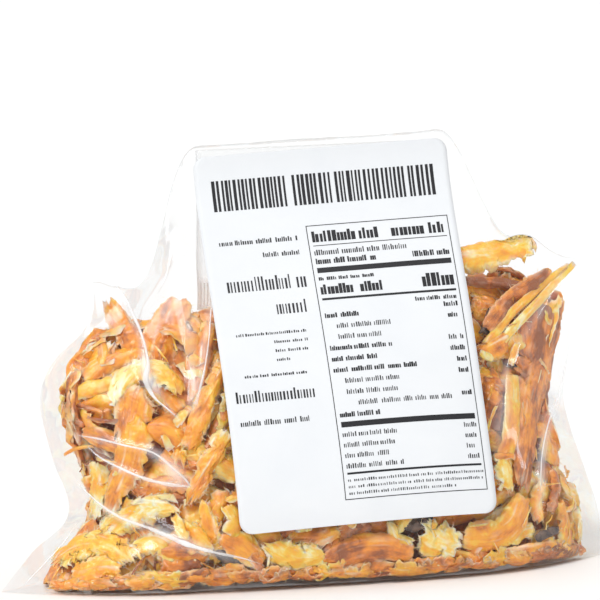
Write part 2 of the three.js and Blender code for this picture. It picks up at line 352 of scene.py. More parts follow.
def smooth_path(rows, count):
    """Catmull-Rom curve through rows (the first three columns are a place), at count even steps."""
    rows = np.asarray(rows, dtype=float)
    padded = np.vstack([2 * rows[0] - rows[1], rows, 2 * rows[-1] - rows[-2]])
    fine = []
    for n in range(1, len(padded) - 2):
        p0, p1, p2, p3 = padded[n - 1:n + 3]
        for t in np.linspace(0, 1, 16, endpoint=False):
            fine.append(0.5 * (2 * p1 + (p2 - p0) * t + (2 * p0 - 5 * p1 + 4 * p2 - p3) * t ** 2
                               + (3 * p1 - p0 - 3 * p2 + p3) * t ** 3))
    fine = np.array(fine + [padded[-2]])
    run = np.concatenate([[0], np.cumsum(np.linalg.norm(np.diff(fine[:, :3], axis=0), axis=1))])
    even = np.linspace(0, run[-1], count)
    return np.stack([np.interp(even, run, fine[:, k]) for k in range(fine.shape[1])], axis=1), run[-1]


def unit(vectors):
    """The same directions, one long."""
    return vectors / (np.linalg.norm(vectors, axis=-1, keepdims=True) + 1e-9)


def ridged(seed, *axes):
    """Noise from -1 to 1 with sharp crests, like creases in a crumpled sheet."""
    return 1 - 2.6 * np.abs(noise(seed, *axes))


def slab_faces(rows_n, columns_n):
    """Faces that close two like grids of points, one over the other, into a thin slab."""
    top = np.arange(rows_n * columns_n).reshape(rows_n, columns_n)
    low = top + rows_n * columns_n
    sides = (
        (top[:-1, :-1], top[:-1, 1:], top[1:, 1:], top[1:, :-1]),
        (low[:-1, :-1], low[1:, :-1], low[1:, 1:], low[:-1, 1:]),
        (top[:-1, 0], top[1:, 0], low[1:, 0], low[:-1, 0]),
        (top[1:, -1], top[:-1, -1], low[:-1, -1], low[1:, -1]),
        (top[0, 1:], top[0, :-1], low[0, :-1], low[0, 1:]),
        (top[-1, :-1], top[-1, 1:], low[-1, 1:], low[-1, :-1]),
    )
    return np.vstack([np.stack([corner.ravel() for corner in side], axis=1) for side in sides])


def torn(rows, thick, curl=0.5, rag=0.5, frill=0.5, crumple=1.2, tone=0.4, fray_and_rim_light=0.6, seed=1, pitch=1.2):
    """One torn bit. rows: place, outward direction, width and roll in degrees along its middle."""
    rough_length = np.linalg.norm(np.diff(np.asarray(rows)[:, :3], axis=0), axis=1).sum()
    n = int(np.clip(rough_length / pitch, 12, 70))
    path, length = smooth_path(rows, n)
    m = int(np.clip(path[:, 6].max() / (pitch * 0.62), 7, 30))
    tangent = unit(np.gradient(path[:, :3], axis=0))
    side = unit(np.cross(tangent, path[:, 3:6]))
    out_way = np.cross(side, tangent)
    turn = np.radians(path[:, 7])[:, None]
    side, out_way = (side * np.cos(turn) + out_way * np.sin(turn),
                     out_way * np.cos(turn) - side * np.sin(turn))
    s = np.linspace(0, 1, n)
    share, across = np.meshgrid(s, np.linspace(-1, 1, m), indexing="ij")
    fibre = across * path[:, 6].mean() / 2
    start = rag * 0.26 * (0.6 + 0.6 * noise(seed + 19, fibre / 6) + 0.4 * noise(seed, fibre / 1.9)
                          + 0.3 * noise(seed + 9, fibre / 0.7))
    stop = rag * 0.26 * (0.6 + 0.6 * noise(seed + 20, fibre / 6) + 0.4 * noise(seed + 1, fibre / 1.9)
                         + 0.3 * noise(seed + 7, fibre / 0.7))
    spot = np.clip(start + share * (1 - start - stop), 0, 1)

    def pick(columns):
        return np.stack([np.interp(spot, s, columns[:, k]) for k in range(columns.shape[1])], -1)

    middle_line, sideways, outwards = pick(path[:, :3]), pick(side), pick(out_way)
    half = pick(path[:, 6:7])[..., 0] / 2
    edge_side = np.sign(across) * 3.3 + 0.01
    edge = 1 + rag * (0.42 * noise(seed + 2, share * length / 8, edge_side)
                      + 0.26 * noise(seed + 3, share * length / 2.6, edge_side)
                      - 1.1 * np.maximum(0, ridged(seed + 15, share * length / 6, edge_side) - 0.55))
    taper = (1 - np.abs(2 * share - 1) ** 14) ** 0.5 * 0.2 + 0.85
    jag = rag * np.abs(across) ** 5 * 0.34 * noise(seed + 18, share * length / 1.15, edge_side)
    angle = across * (edge * taper + jag) * curl
    width_way = half * np.sin(angle) / curl
    curl_way = half * (np.cos(angle) - 1) / curl
    rim = np.abs(across) ** 3
    lift = frill * rim * (1.8 * noise(seed + 4, share * length / 5, edge_side)
                          + 1.1 * noise(seed + 5, share * length / 2.2, edge_side))
    skew_a, skew_b = share * length + 0.5 * width_way, width_way - 0.35 * share * length
    lift = lift + crumple * (2.0 * noise(seed + 6, share * length / 12, width_way / 8)
                             + 0.8 * ridged(seed + 8, skew_a / 11, skew_b / 5)
                             + 0.4 * ridged(seed + 16, skew_b / 4, skew_a / 3))
    sheet = middle_line + sideways * width_way[..., None] + outwards * (curl_way + lift)[..., None]
    body = (1 - across ** 2) ** 0.7 * (1 - np.abs(2 * share - 1) ** 5) ** 0.6
    deep = thick * body * (1 + 0.5 * noise(seed + 10, share * length / 7, width_way / 4)) + 0.26
    grain = (0.28 * noise(seed + 11, share * length / 13, width_way / 1.3)
             + 0.20 * noise(seed + 12, share * length / 5, width_way / 0.8)) * min(1.0, 0.5 + thick / 5)
    top = sheet + outwards * (deep / 2 + grain)[..., None]
    under = sheet - outwards * (deep / 2 - 0.6 * grain)[..., None]
    # Pale cream where the flesh is torn, at the rims, the ends and in splits: partly real fray, partly
    # painted highlight on thin edges that catch the light.
    rim_fray_and_highlight = np.clip((np.abs(across) - 0.6) / 0.4, 0, 1) ** 1.8
    end_fray_and_highlight = np.clip((np.abs(2 * share - 1) - 0.8) / 0.2, 0, 1) ** 1.5
    patchy = np.clip(1.5 * noise(seed + 13, share * length / 4, width_way / 3 + edge_side) + 0.55, 0, 1)
    split_and_highlight = np.clip(noise(seed + 17, share * length / 8, width_way / 0.9) * 2.2 - 0.65, 0, 1)
    fray_and_rim_highlight = np.clip(fray_and_rim_light * (np.maximum(rim_fray_and_highlight, end_fray_and_highlight) * patchy + 0.8 * split_and_highlight), 0, 1)
    # Lighter towards the long edges: painted light, as if shining through the thin rims.
    shade = np.clip(tone - 0.14 * across ** 4
                    + 0.24 * noise(seed + 14, share * length / 10, width_way / 5), 0, 1)
    lines = np.stack([share * length, width_way, np.full_like(share, seed * 1.7)], axis=-1)
    return {
        "points": np.vstack([top.reshape(-1, 3), under.reshape(-1, 3)]),
        "faces": slab_faces(n, m),
        "tone": np.tile(shade.ravel(), 2),
        "pale": np.tile(fray_and_rim_highlight.ravel(), 2),
        "fibre": np.vstack([lines.reshape(-1, 3), lines.reshape(-1, 3) + (0, 0, 0.5)]),
    }


def front_face(x, z):
    """(place, outward direction) on the bag's front, in millimetres, at a width and a height."""
    hits = []
    for dx, dz in ((0, 0), (5, 0), (-5, 0), (0, 5), (0, -5)):
        start = Vector(((x + dx) * MM, -0.3, max(z + dz, 0.8) * MM))
        hit = wall.ray_cast(start, Vector((0, 1, 0)))
        if hit[0] is None:
            hit = wall.find_nearest(Vector(((x + dx) * MM, 0, max(z + dz, 0.8) * MM)))
        hits.append(hit)
    way = sum((h[1] for h in hits), Vector()).normalized()
    return np.array(hits[0][0]) / MM, np.array(way)


def front_rows(path, widths, rolls):
    """Rows for torn() behind the bag's front. path: width, height and depth behind the film."""
    knots = np.linspace(0, 1, len(path))
    widths = np.interp(knots, np.linspace(0, 1, len(widths)), widths)
    rolls = np.interp(knots, np.linspace(0, 1, len(rolls)), rolls)
    rows = []
    for (x, z, depth), width, roll in zip(path, widths, rolls):
        place, way = front_face(x, z)
        rows.append([*(place - way * (depth + FILM_GAP)), *way, width, roll])
    return rows


# Bits that lie against the front: kind, path (width, height, depth), widths, thickness, rolls, curl, tone,
# and how ragged and frilled they are, and how much pale cream they show where torn: partly fray, partly
# painted highlight on the rims. Tone runs from 0, cream, over gold and orange to 1, red-brown.
FRONT_BITS = [
    # upper left: standing tips and the pieces between them
    ("strips", [(-77, 116, 2), (-72, 108, 3), (-68, 98, 5), (-65, 88, 8)],
     [3, 9, 11, 10], 2.2, [15], 0.7, 0.52, 0.4, 0.4, 0.5),
    ("flakes", [(-46, 115, 3), (-52, 107, 4), (-58, 98, 6), (-62, 88, 9)],
     [9, 16, 17, 14], 2.4, [-12, 10], 0.6, 0.55, 0.4, 0.5, 0.5),
    ("flakes", [(-41, 112, 6), (-42, 100, 7), (-42, 85, 8)],
     [8, 12, 11], 2.2, [20, -10], 0.6, 0.5, 0.5, 0.6, 0.5),
    ("strips", [(-36, 106, 3), (-40, 92, 4), (-45, 75, 7)],
     [6, 9, 8], 2.6, [10, 30], 0.9, 0.5, 0.4, 0.4, 0.5),
    ("flakes", [(-67, 106, 9), (-60, 103, 10), (-54, 98, 11)],
     [9, 12, 10], 2.2, [0, 20], 0.5, 0.42, 0.5, 0.6, 0.5),
    # the big yellow hood and the clear sheet that hangs from it
    ("hood", [(-50, 73, 4), (-53, 82, 2), (-60, 87, 1), (-68, 86, 1), (-74, 79, 2), (-75, 69, 5)],
     [9, 12, 13, 13, 12, 9], 2.2, [-38, -25, 18, 30], 1.0, 0.12, 0.7, 1.5, 0.9),
    ("hood", [(-64, 84, 3.5), (-68, 76, 2), (-71, 64, 1.6), (-73, 52, 1.6), (-78, 40, 2), (-84, 27, 4)],
     [12, 17, 18, 16, 12, 9], 2.2, [12, 0, -8], 0.8, 0.4, 0.6, 0.8, 0.8),
    ("flakes", [(-64, 81, 8), (-57, 79, 8), (-50, 72, 8)],
     [9, 12, 10], 2.6, [10], 0.8, 0.4, 0.4, 0.6, 0.4),
    ("lumps", [(-65, 65, 6), (-58, 64, 4), (-51, 59, 6)], [9, 14, 9], 4, [0], 0.8, 0.46, 0.15, 0.2, 0.2),
    ("lumps", [(-62, 56, 8), (-54, 52, 8), (-47, 52, 9)], [8, 12, 9], 4, [0], 0.8, 0.52, 0.2, 0.3, 0.2),
    # two long strips that run down to the left
    ("strips", [(-30, 93, 4), (-40, 76, 2), (-47, 63, 2), (-55, 51, 3)],
     [7, 9, 9, 7], 3.0, [25, 5, -10], 0.9, 0.33, 0.7, 0.5, 0.9),
    ("strips", [(-31, 67, 3), (-39, 55, 2), (-46, 44, 2), (-54, 32, 3)],
     [9, 10, 9, 7], 3.0, [20, -5], 0.9, 0.36, 0.8, 0.5, 0.9),
    ("strips", [(-30, 80, 8), (-37, 66, 7), (-45, 52, 8)],
     [7, 9, 7], 2.6, [-30, 0], 0.9, 0.6, 0.5, 0.5, 0.4),
    # left edge: curled yellow flakes, brown sticks and a dark knob
    ("flakes", [(-93, 76, 3), (-86, 80, 2), (-75, 83, 4)],
     [6, 8, 7], 2.0, [25, -25], 1.1, 0.25, 0.6, 1.0, 0.6),
    ("flakes", [(-89, 83, 4), (-79, 90, 3), (-70, 94, 4), (-61, 93, 6)],
     [7, 10, 10, 8], 2.4, [-20, 15], 0.9, 0.36, 0.4, 0.6, 0.4),
    ("flakes", [(-92, 70, 5), (-83, 75, 5), (-74, 75, 7)],
     [7, 10, 9], 2.2, [0, 20], 0.8, 0.42, 0.5, 0.7, 0.5),
    ("strips", [(-80, 101, 2), (-79, 93, 3), (-83, 85, 5)],
     [3, 6, 5], 1.6, [10], 0.9, 0.45, 0.4, 0.4, 0.5),
    ("strips", [(-86, 92, 4), (-86, 84, 5), (-90, 77, 6)], [3, 6, 5], 1.8, [10], 0.9, 0.55, 0.3, 0.4, 0.3),
    ("strips", [(-97, 74, 2), (-87, 72, 2), (-77, 69, 4)],
     [1.2, 2.2, 2.4], 1.2, [0], 0.8, 0.78, 0.7, 0.5, 0.3),
    ("lumps", [(-97, 65, 2), (-93, 66, 1.5), (-88, 64, 3)],
     [3, 4.6, 3], 3.5, [0], 1.0, 0.75, 0.5, 0.6, 0.2),
    ("strips", [(-90, 68, 3), (-80, 66, 3), (-71, 68, 5)],
     [1.2, 2.4, 2.6], 1.3, [20], 0.8, 0.75, 0.7, 0.6, 0.3),
    ("flakes", [(-90, 62, 3), (-84, 60, 2), (-75, 56, 4)],
     [3, 9, 7], 2.0, [-10, 10], 0.7, 0.62, 0.3, 0.4, 0.3),
    ("strips", [(-97, 51, 2), (-92, 54.5, 2), (-86, 56, 3)],
     [1.2, 1.5, 1.3], 0.8, [0], 0.6, 0.45, 0.2, 0.2, 0.3),
    ("flakes", [(-86, 53, 4), (-85, 40, 3), (-88, 27, 3)],
     [8, 11, 9], 1.8, [10, -20], 0.7, 0.1, 0.9, 1.2, 1.0),
    ("flakes", [(-79, 46, 5), (-69, 40, 5), (-59, 44, 5), (-48, 40, 6)],
     [8, 10, 10, 8], 2.0, [0, 25], 0.8, 0.5, 0.5, 0.7, 0.3),
    ("flakes", [(-72, 35, 6), (-62, 38, 6), (-52, 36, 7)],
     [7, 10, 8], 1.8, [-20, 10], 0.8, 0.58, 0.5, 0.7, 0.2),
    # lower left: a big golden lump under a cream flake
    ("hood", [(-105, 5, 2), (-101, 14, 1.5), (-90, 21, 1.5), (-79, 19, 2), (-70, 7, 3)],
     [9, 12, 14, 13, 9], 2.4, [30, 10, -15], 0.9, 0.22, 0.8, 2.0, 0.7),
    ("lumps", [(-99, 6, 3), (-87, 10, 2.5), (-76, 9, 4)], [10, 14, 11], 3.5, [0], 0.7, 0.4, 0.7, 1.2, 0.5),
    ("flakes", [(-90, 22, 4), (-77, 30, 2), (-65, 34, 1.5), (-52, 32, 3)],
     [8, 13, 13, 9], 2.0, [20, -15], 0.7, 0.06, 0.9, 1.5, 1.0),
    ("flakes", [(-76, 20, 4), (-66, 22, 3), (-57, 14, 4)],
     [7, 11, 8], 2.0, [-25, 10], 0.8, 0.16, 0.8, 1.3, 0.9),
    ("flakes", [(-57, 32, 6), (-49, 24, 5), (-41, 15, 6)],
     [6, 8, 7], 1.8, [0, 30], 0.8, 0.14, 0.9, 1.4, 1.0),
    ("flakes", [(-46, 38, 4), (-43, 26, 3), (-38, 13, 5)],
     [6, 8, 6], 2.0, [20, -20], 0.9, 0.3, 0.7, 1.0, 0.8),
    ("flakes", [(-66, 12, 6), (-56, 8, 5), (-45, 10, 6)], [7, 10, 8], 2.2, [0], 0.7, 0.7, 0.5, 0.8, 0.3),
    ("strips", [(-70, 5, 3), (-48, 4, 3), (-24, 5, 3)], [5, 7, 6], 2.6, [0], 0.7, 0.5, 0.4, 0.5, 0.4),
    # the row under the label
    ("flakes", [(-37, 37, 2), (-34, 29, 2), (-37, 22, 3)], [5, 8, 6], 1.8, [15], 0.9, 0.13, 0.8, 1.2, 1.0),
    ("flakes", [(-40, 24, 3), (-31, 18, 2), (-22, 8, 3)],
     [8, 12, 9], 2.4, [0, 10], 0.6, 0.33, 0.4, 0.5, 0.6),
    ("flakes", [(-25, 20, 3), (-13, 12, 2), (4, 12, 3)],
     [9, 13, 9], 2.0, [10, -15], 0.8, 0.12, 0.9, 1.6, 1.0),
    ("flakes", [(-14, 23, 6), (-3, 20, 5), (8, 23, 6)], [7, 10, 8], 2.0, [20], 0.8, 0.45, 0.7, 1.2, 0.7),
    ("lumps", [(0, 5, 3), (9, 12, 2), (23, 14, 2), (38, 9, 4)],
     [8, 12, 12, 8], 4, [0, 10], 0.8, 0.7, 0.3, 0.4, 0.3),
    ("flakes", [(27, 27, 3), (30, 18, 2), (38, 13, 4)], [3, 6, 5], 1.8, [30, 0], 1.1, 0.06, 0.8, 1.3, 1.0),
    ("flakes", [(36, 22, 3), (46, 15, 1.5), (58, 8, 3)],
     [11, 16, 12], 2.6, [10, -10], 0.8, 0.02, 1.0, 1.8, 1.0),
    ("lumps", [(12, 24, 8), (24, 24, 8), (36, 24, 9)], [9, 12, 9], 3, [0], 0.8, 0.66, 0.3, 0.4, 0.1),
    ("strips", [(-24, 4, 3), (4, 3, 3), (34, 4, 3)], [5, 7, 6], 3, [0], 0.7, 0.58, 0.4, 0.5, 0.4),
    ("strips", [(30, 4, 3), (52, 3.5, 3), (76, 4.5, 3)], [5, 7, 6], 3, [0], 0.7, 0.5, 0.4, 0.5, 0.4),
    # right: the chunk on top, two ridged sticks, the big brown sheet and what lies round it
    ("lumps", [(60, 122, 3), (78, 124, 2), (94, 127, 2), (104, 127, 2)],
     [11, 14, 15, 15], 6, [10], 0.9, 0.25, 0.45, 0.4, 0.6),
    ("lumps", [(66, 115, 4), (81, 114, 3.5), (94, 111, 3.5), (105, 107, 4)],
     [4, 5, 5, 4], 3.5, [0], 0.8, 0.8, 0.2, 0.3, 0.2),
    ("flakes", [(69, 109, 9), (80, 105, 8), (90, 100, 8)],
     [10, 15, 12], 2.6, [0, 15], 0.6, 0.45, 0.5, 0.8, 0.5),
    ("strips", [(117, 118, 1), (102, 107, 1), (89, 97, 1.2), (76, 86, 2.5)],
     [2.5, 3.6, 4.2, 4.2], 3.2, [0], 0.6, 0.12, 0.1, 0.1, 0.5),
    ("strips", [(112, 117, 2), (97, 108, 2), (84, 99, 2), (73, 89, 3.5)],
     [2.5, 3.6, 4, 4], 3.0, [0], 0.6, 0.3, 0.1, 0.1, 0.5),
    ("strips", [(106, 116, 3), (94, 110, 3), (82, 102, 3), (73, 93, 4)],
     [4, 8, 9, 7], 2.0, [10], 0.6, 0.66, 0.3, 0.4, 0.3),
    ("flakes", [(69, 85, 3), (78, 88, 2), (86, 91, 4)], [8, 11, 8], 4.5, [0], 1.0, 0.3, 0.6, 1.2, 0.8),
    ("sheet", [(106, 111, 4), (102, 94, 3), (99, 77, 2.5), (93, 62, 2.5), (88, 47, 2.5), (84, 28, 3.5)],
     [17, 25, 26, 20, 13, 8], 2.4, [-8, 6, 0], 0.5, 0.6, 0.35, 0.5, 0.4),
    ("strips", [(111, 104, 5), (108, 88, 5), (104, 70, 5), (99, 55, 6)],
     [4, 6, 6, 5], 2.6, [20], 0.8, 0.82, 0.5, 0.6, 0.2),
    ("flakes", [(74, 82, 6), (76, 70, 6), (73, 56, 6)],
     [9, 12, 10], 2.4, [0, -20], 0.7, 0.66, 0.4, 0.6, 0.3),
    ("strips", [(84, 77, 1.2), (83, 67, 1), (81, 56, 1.2), (77, 44, 3)],
     [7, 8.5, 8.5, 7], 2.4, [-6, 6], 0.5, 0.27, 0.12, 0.15, 0.4),
    ("flakes", [(74, 50, 3), (76, 40, 2), (77, 30, 3)], [6, 9, 7], 2.0, [0, 20], 0.9, 0.04, 0.9, 1.5, 1.0),
    ("sheet", [(86, 31, 2.5), (79, 20, 1.2), (69, 15, 1.2), (55, 16, 3)],
     [8, 14, 15, 11], 3.0, [-10, 10], 0.8, 0.3, 0.3, 0.5, 0.4),
    ("flakes", [(95, 57, 4), (102, 49, 3), (105, 38, 4)],
     [8, 11, 8], 2.2, [20, -20], 1.1, 0.3, 0.5, 1.0, 0.4),
    ("strips", [(102, 39, 4), (103, 29, 4), (99, 20, 5)], [5, 6, 5], 2.4, [0], 0.9, 0.62, 0.4, 0.5, 0.3),
    ("flakes", [(96, 37, 3), (93, 27, 3), (92, 17, 4)],
     [6, 8, 6], 2.0, [10, -20], 1.0, 0.24, 0.6, 1.0, 0.6),
    ("flakes", [(103, 26, 4), (106, 15, 3), (103, 4, 4)],
     [6, 9, 7], 2.2, [0, 15], 0.9, 0.3, 0.4, 0.7, 0.4),
    ("lumps", [(70, 5, 3), (88, 6, 2.5), (110, 5, 3)], [6, 7, 6], 4, [0], 0.7, 0.45, 0.3, 0.3, 0.4),
    ("flakes", [(75, 13, 4), (83, 14, 3), (93, 15, 4)], [6, 8, 6], 1.8, [0], 0.9, 0.08, 0.9, 1.5, 1.0),
    ("skin", [(88, 11, 3), (95, 13, 2.5), (103, 13, 3)], [3, 5, 3], 1.0, [20], 0.8, 0.9, 0.6, 0.8, 0.1),
    ("skin", [(72, 93, 4), (75, 98, 3), (78, 104, 4)], [4, 5, 3], 1.0, [20], 0.8, 0.9, 0.6, 0.8, 0.1),
    ("skin", [(30, 25, 5), (38, 22, 4), (46, 25, 5)], [5, 7, 5], 1.0, [0], 0.8, 0.9, 0.6, 0.8, 0.1),
    ("skin", [(-44, 20, 6), (-38, 14, 5), (-32, 10, 6)], [4, 6, 4], 1.0, [0], 0.8, 0.9, 0.6, 0.8, 0.1),
]
# Along the bottom edge: tan and brown ends that rest on the base, one over the other.
BASE_ENDS = {"from": -106.0, "to": 106, "corner": 114, "tones": [0.3, 0.5, 0.62, 0.72, 0.85]}
draw = np.random.default_rng(5)
left_end = BASE_ENDS["from"]
while left_end < BASE_ENDS["to"]:
    length = draw.uniform(14, 32)
    heights, depths = draw.uniform(1.4, 5.0, 3), draw.uniform(0.1, 2.4, 3)
    path = [(min(left_end + length * k / 2, BASE_ENDS["corner"]), heights[k], depths[k]) for k in range(3)]
    FRONT_BITS.append(("flakes", path, list(draw.uniform(5, 12, 3)), draw.uniform(1.4, 2.8),
                       [draw.uniform(-40, 40)], 0.8, draw.choice(BASE_ENDS["tones"]), 0.9, 1.0, 0.5))
    left_end += length * 0.45
RIGHT_END, RIGHT_TONE = 60, 0.07  # past this width the heap is a little darker
CRUMPLE = {"sheet": 0.55, "hood": 0.9}  # broad pieces lie flatter than the rest
heap = {kind: [] for kind in ("strips", "flakes", "hood", "lumps", "sheet", "skin", "fill_front",
                              "fill_back", "fill_deep", "shreds", "scraps")}
for number, (kind, path, widths, thick, rolls, curl, tone_value, rag, frill, fray_and_rim_light) in enumerate(FRONT_BITS):
    tone_value += RIGHT_TONE * (path[0][0] > RIGHT_END)
    heap[kind].append(torn(front_rows(path, widths, rolls), thick, curl=curl, rag=rag, frill=frill,
                           crumple=CRUMPLE.get(kind, 1.15), tone=tone_value, fray_and_rim_light=fray_and_rim_light,
                           seed=100 + number * 17, pitch=0.72))

# The rest of the heap: bits that lie every way along the film, in layers, round the whole bag.
rng = np.random.default_rng(11)
corners = np.array([[v.co[:] for v in f.verts] for f in shell.faces]) / MM
ways = np.array([f.normal[:] for f in shell.faces])
sizes = np.array([f.calc_area() for f in shell.faces])
pick_face = np.cumsum(sizes) / sizes.sum()


def heap_top(x):
    """Height of the heap of bits, at a width."""
    return 101 + 10 * math.exp(-((x - 10) / 45) ** 2) + 20 * math.exp(-((x - 92) / 22) ** 2)


def heap_sides(z):
    """Where the heap ends at the left and at the right, at a height. The film hangs empty beyond that."""
    left = wall.ray_cast(Vector((-0.3, 0, max(z, 1.5) * MM)), Vector((1, 0, 0)))[0]
    right_side = wall.ray_cast(Vector((0.3, 0, max(z, 1.5) * MM)), Vector((-1, 0, 0)))[0]
    return left.x / MM + 7 + 8 * math.exp(-(z / 18) ** 2), right_side.x / MM - 7


LEAST_ROOM = 11  # no bit is laid where the bag is thinner


def lay(kind, count, depths, lengths, widths, thicks, front=0, seed=0):
    """Lays count bits along the film at random. front: -1 for the front only, 1 for the back, 0 for both."""
    placed = tries = 0
    while placed < count and tries < count * 30:
        tries += 1
        n = int(np.searchsorted(pick_face, rng.random()))
        a, b = rng.random(2)
        a, b = (1 - a, 1 - b) if a + b > 1 else (a, b)
        place = corners[n, 0] + a * (corners[n, 1] - corners[n, 0]) + b * (corners[n, 2] - corners[n, 0])
        way = ways[n]
        inward = wall.ray_cast(Vector((place - way * 0.5) * MM), Vector(-way))[3]
        room = (inward or 0) / MM
        if room < LEAST_ROOM or place[2] > heap_top(place[0]) or way[2] < -0.6 or front * way[1] < 0:
            continue
        run = unit(np.cross(way, rng.normal(size=3)))
        length, width = rng.uniform(*lengths), rng.uniform(*widths)
        deep = rng.uniform(*depths) + rng.uniform(-2.5, 2.5) * np.linspace(-1, 1, 4)
        roll = rng.normal(0, 26) + rng.normal(0, 22) * np.linspace(-1, 1, 4)
        rows = []
        for k in range(4):
            near, near_way, _, _ = wall.find_nearest(Vector((place + run * length * (k / 3 - 0.5)) * MM))
            near_way = unit(np.array(near_way) * 0.5 + way * 0.5)
            spot = np.array(near) / MM - near_way * (min(max(deep[k], 1.0), room * 0.42) + FILM_GAP)
            spot[2] = min(spot[2], heap_top(spot[0]) - 2)
            ends = heap_sides(spot[2])
            spot[0] = min(max(spot[0], ends[0] + width * 0.3), ends[1] - width * 0.3)
            rows.append([*spot, *near_way, width * (0.75, 1.1, 1.05, 0.75)[k], roll[k]])
        thick = rng.uniform(*thicks)
        light = rng.random()
        colour = float(np.clip(rng.normal(0.38, 0.2), 0.0, 0.95))
        heap[kind].append(torn(rows, thick, curl=rng.uniform(0.4, 1.1), rag=rng.uniform(0.5, 1.1),
                               frill=rng.uniform(0.6, 2.0), tone=colour, fray_and_rim_light=0.35 + 0.65 * light,
                               seed=seed + placed * 19, pitch=1.75 if width > 3 else 1.3))
        placed += 1


lay("fill_deep", 130, (7, 12), (26, 55), (9, 18), (2.0, 4.0), seed=3000)
lay("fill_back", 125, (1, 7), (22, 58), (7, 18), (1.6, 4.0), front=1, seed=9000)
lay("fill_front", 70, (5, 9), (18, 46), (7, 15), (1.4, 3.0), front=-1, seed=15000)
lay("shreds", 90, (0.5, 5), (7, 20), (0.5, 1.1), (0.3, 0.6), seed=21000)
lay("scraps", 80, (0.4, 4), (5, 15), (2.5, 6.5), (0.8, 1.8), seed=27000)


PRESSED_AT_WALL = (FILM_GAP, 2.2)  # how near the film a bit comes, and over what depth it is flattened
PRESSED_AT_BASE = (0.35, 1.0)
BASE_HEIGHT = 6


def keep_inside(points):
    """Presses points that reach the film flat against it, and leaves the deeper ones."""
    moved = points.copy()
    for n, point in enumerate(points):
        near, way, _, _ = wall.find_nearest(Vector(point * MM))
        inside = -(Vector(point * MM) - near).dot(way) / MM
        gap, soft = PRESSED_AT_BASE if way.z < -0.7 or near.z < BASE_HEIGHT * MM else PRESSED_AT_WALL
        if inside < gap + soft:
            share = max(0.0, (inside + 2 * soft) / (gap + 3 * soft))
            thickness = (wall.ray_cast(near - way * (0.05 * MM), -way)[3] or 1.0) / MM
            pressed = near - way * (min(gap + soft * share ** 1.6, 0.42 * thickness) * MM)
            near, way, _, _ = wall.find_nearest(pressed)
            if (near - pressed).dot(way) < 0.1 * MM:  # past a fold the nearest wall is another one
                pressed = near - way * (0.3 * MM)
            moved[n] = np.array(pressed) / MM
    return moved


# Dried skin of the cod: thin, grey to black-brown, with fine scales; satin.
dried_skin, tree, out = new_material("dried_cod_skin")
lines = add(tree, "ShaderNodeAttribute", {"attribute_name": "fibre"})
cells = add(tree, "ShaderNodeVectorMath", {"operation": "MULTIPLY", 1: (1.1, 1.1, 1.0)},
            i0=lines.outputs["Vector"])
scales = add(tree, "ShaderNodeTexVoronoi", {"Scale": 1.0}, Vector=cells.outputs[0])  # scales under 1 mm
mottle = add(tree, "ShaderNodeTexNoise", {"Scale": 0.3, "Detail": 3.0}, Vector=lines.outputs["Vector"])
greys = add(tree, "ShaderNodeValToRGB", (), Fac=mottle.outputs[0])
greys.color_ramp.elements[0].position, greys.color_ramp.elements[1].position = 0.35, 0.7
greys.color_ramp.elements[0].color = linear("#2e2a2e")
greys.color_ramp.elements[1].color = linear("#7a6458")
relief = add(tree, "ShaderNodeBump", {"Strength": 0.4, "Distance": 0.2 * MM}, Height=scales.outputs[0])
skin_shade = add(tree, "ShaderNodeBsdfPrincipled", {"Roughness": 0.38, "IOR": 1.45},
                 Base_Color=greys.outputs[0], Normal=relief.outputs[0])
tree.links.new(skin_shade.outputs[0], out.inputs[0])

for kind, bits in heap.items():
    starts = np.cumsum([0] + [len(bit["points"]) for bit in bits])
    points = keep_inside(np.vstack([bit["points"] for bit in bits]))
    faces = np.vstack([bit["faces"] + start for bit, start in zip(bits, starts)])
    piece = make_object("bits_" + kind, points, faces, dried_skin if kind == "skin" else dried_cod, {
        "fibre": np.vstack([bit["fibre"] for bit in bits]),
        "tone": np.concatenate([bit["tone"] for bit in bits]),
        "pale": np.concatenate([bit["pale"] for bit in bits]),
    })
    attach(piece, "root")

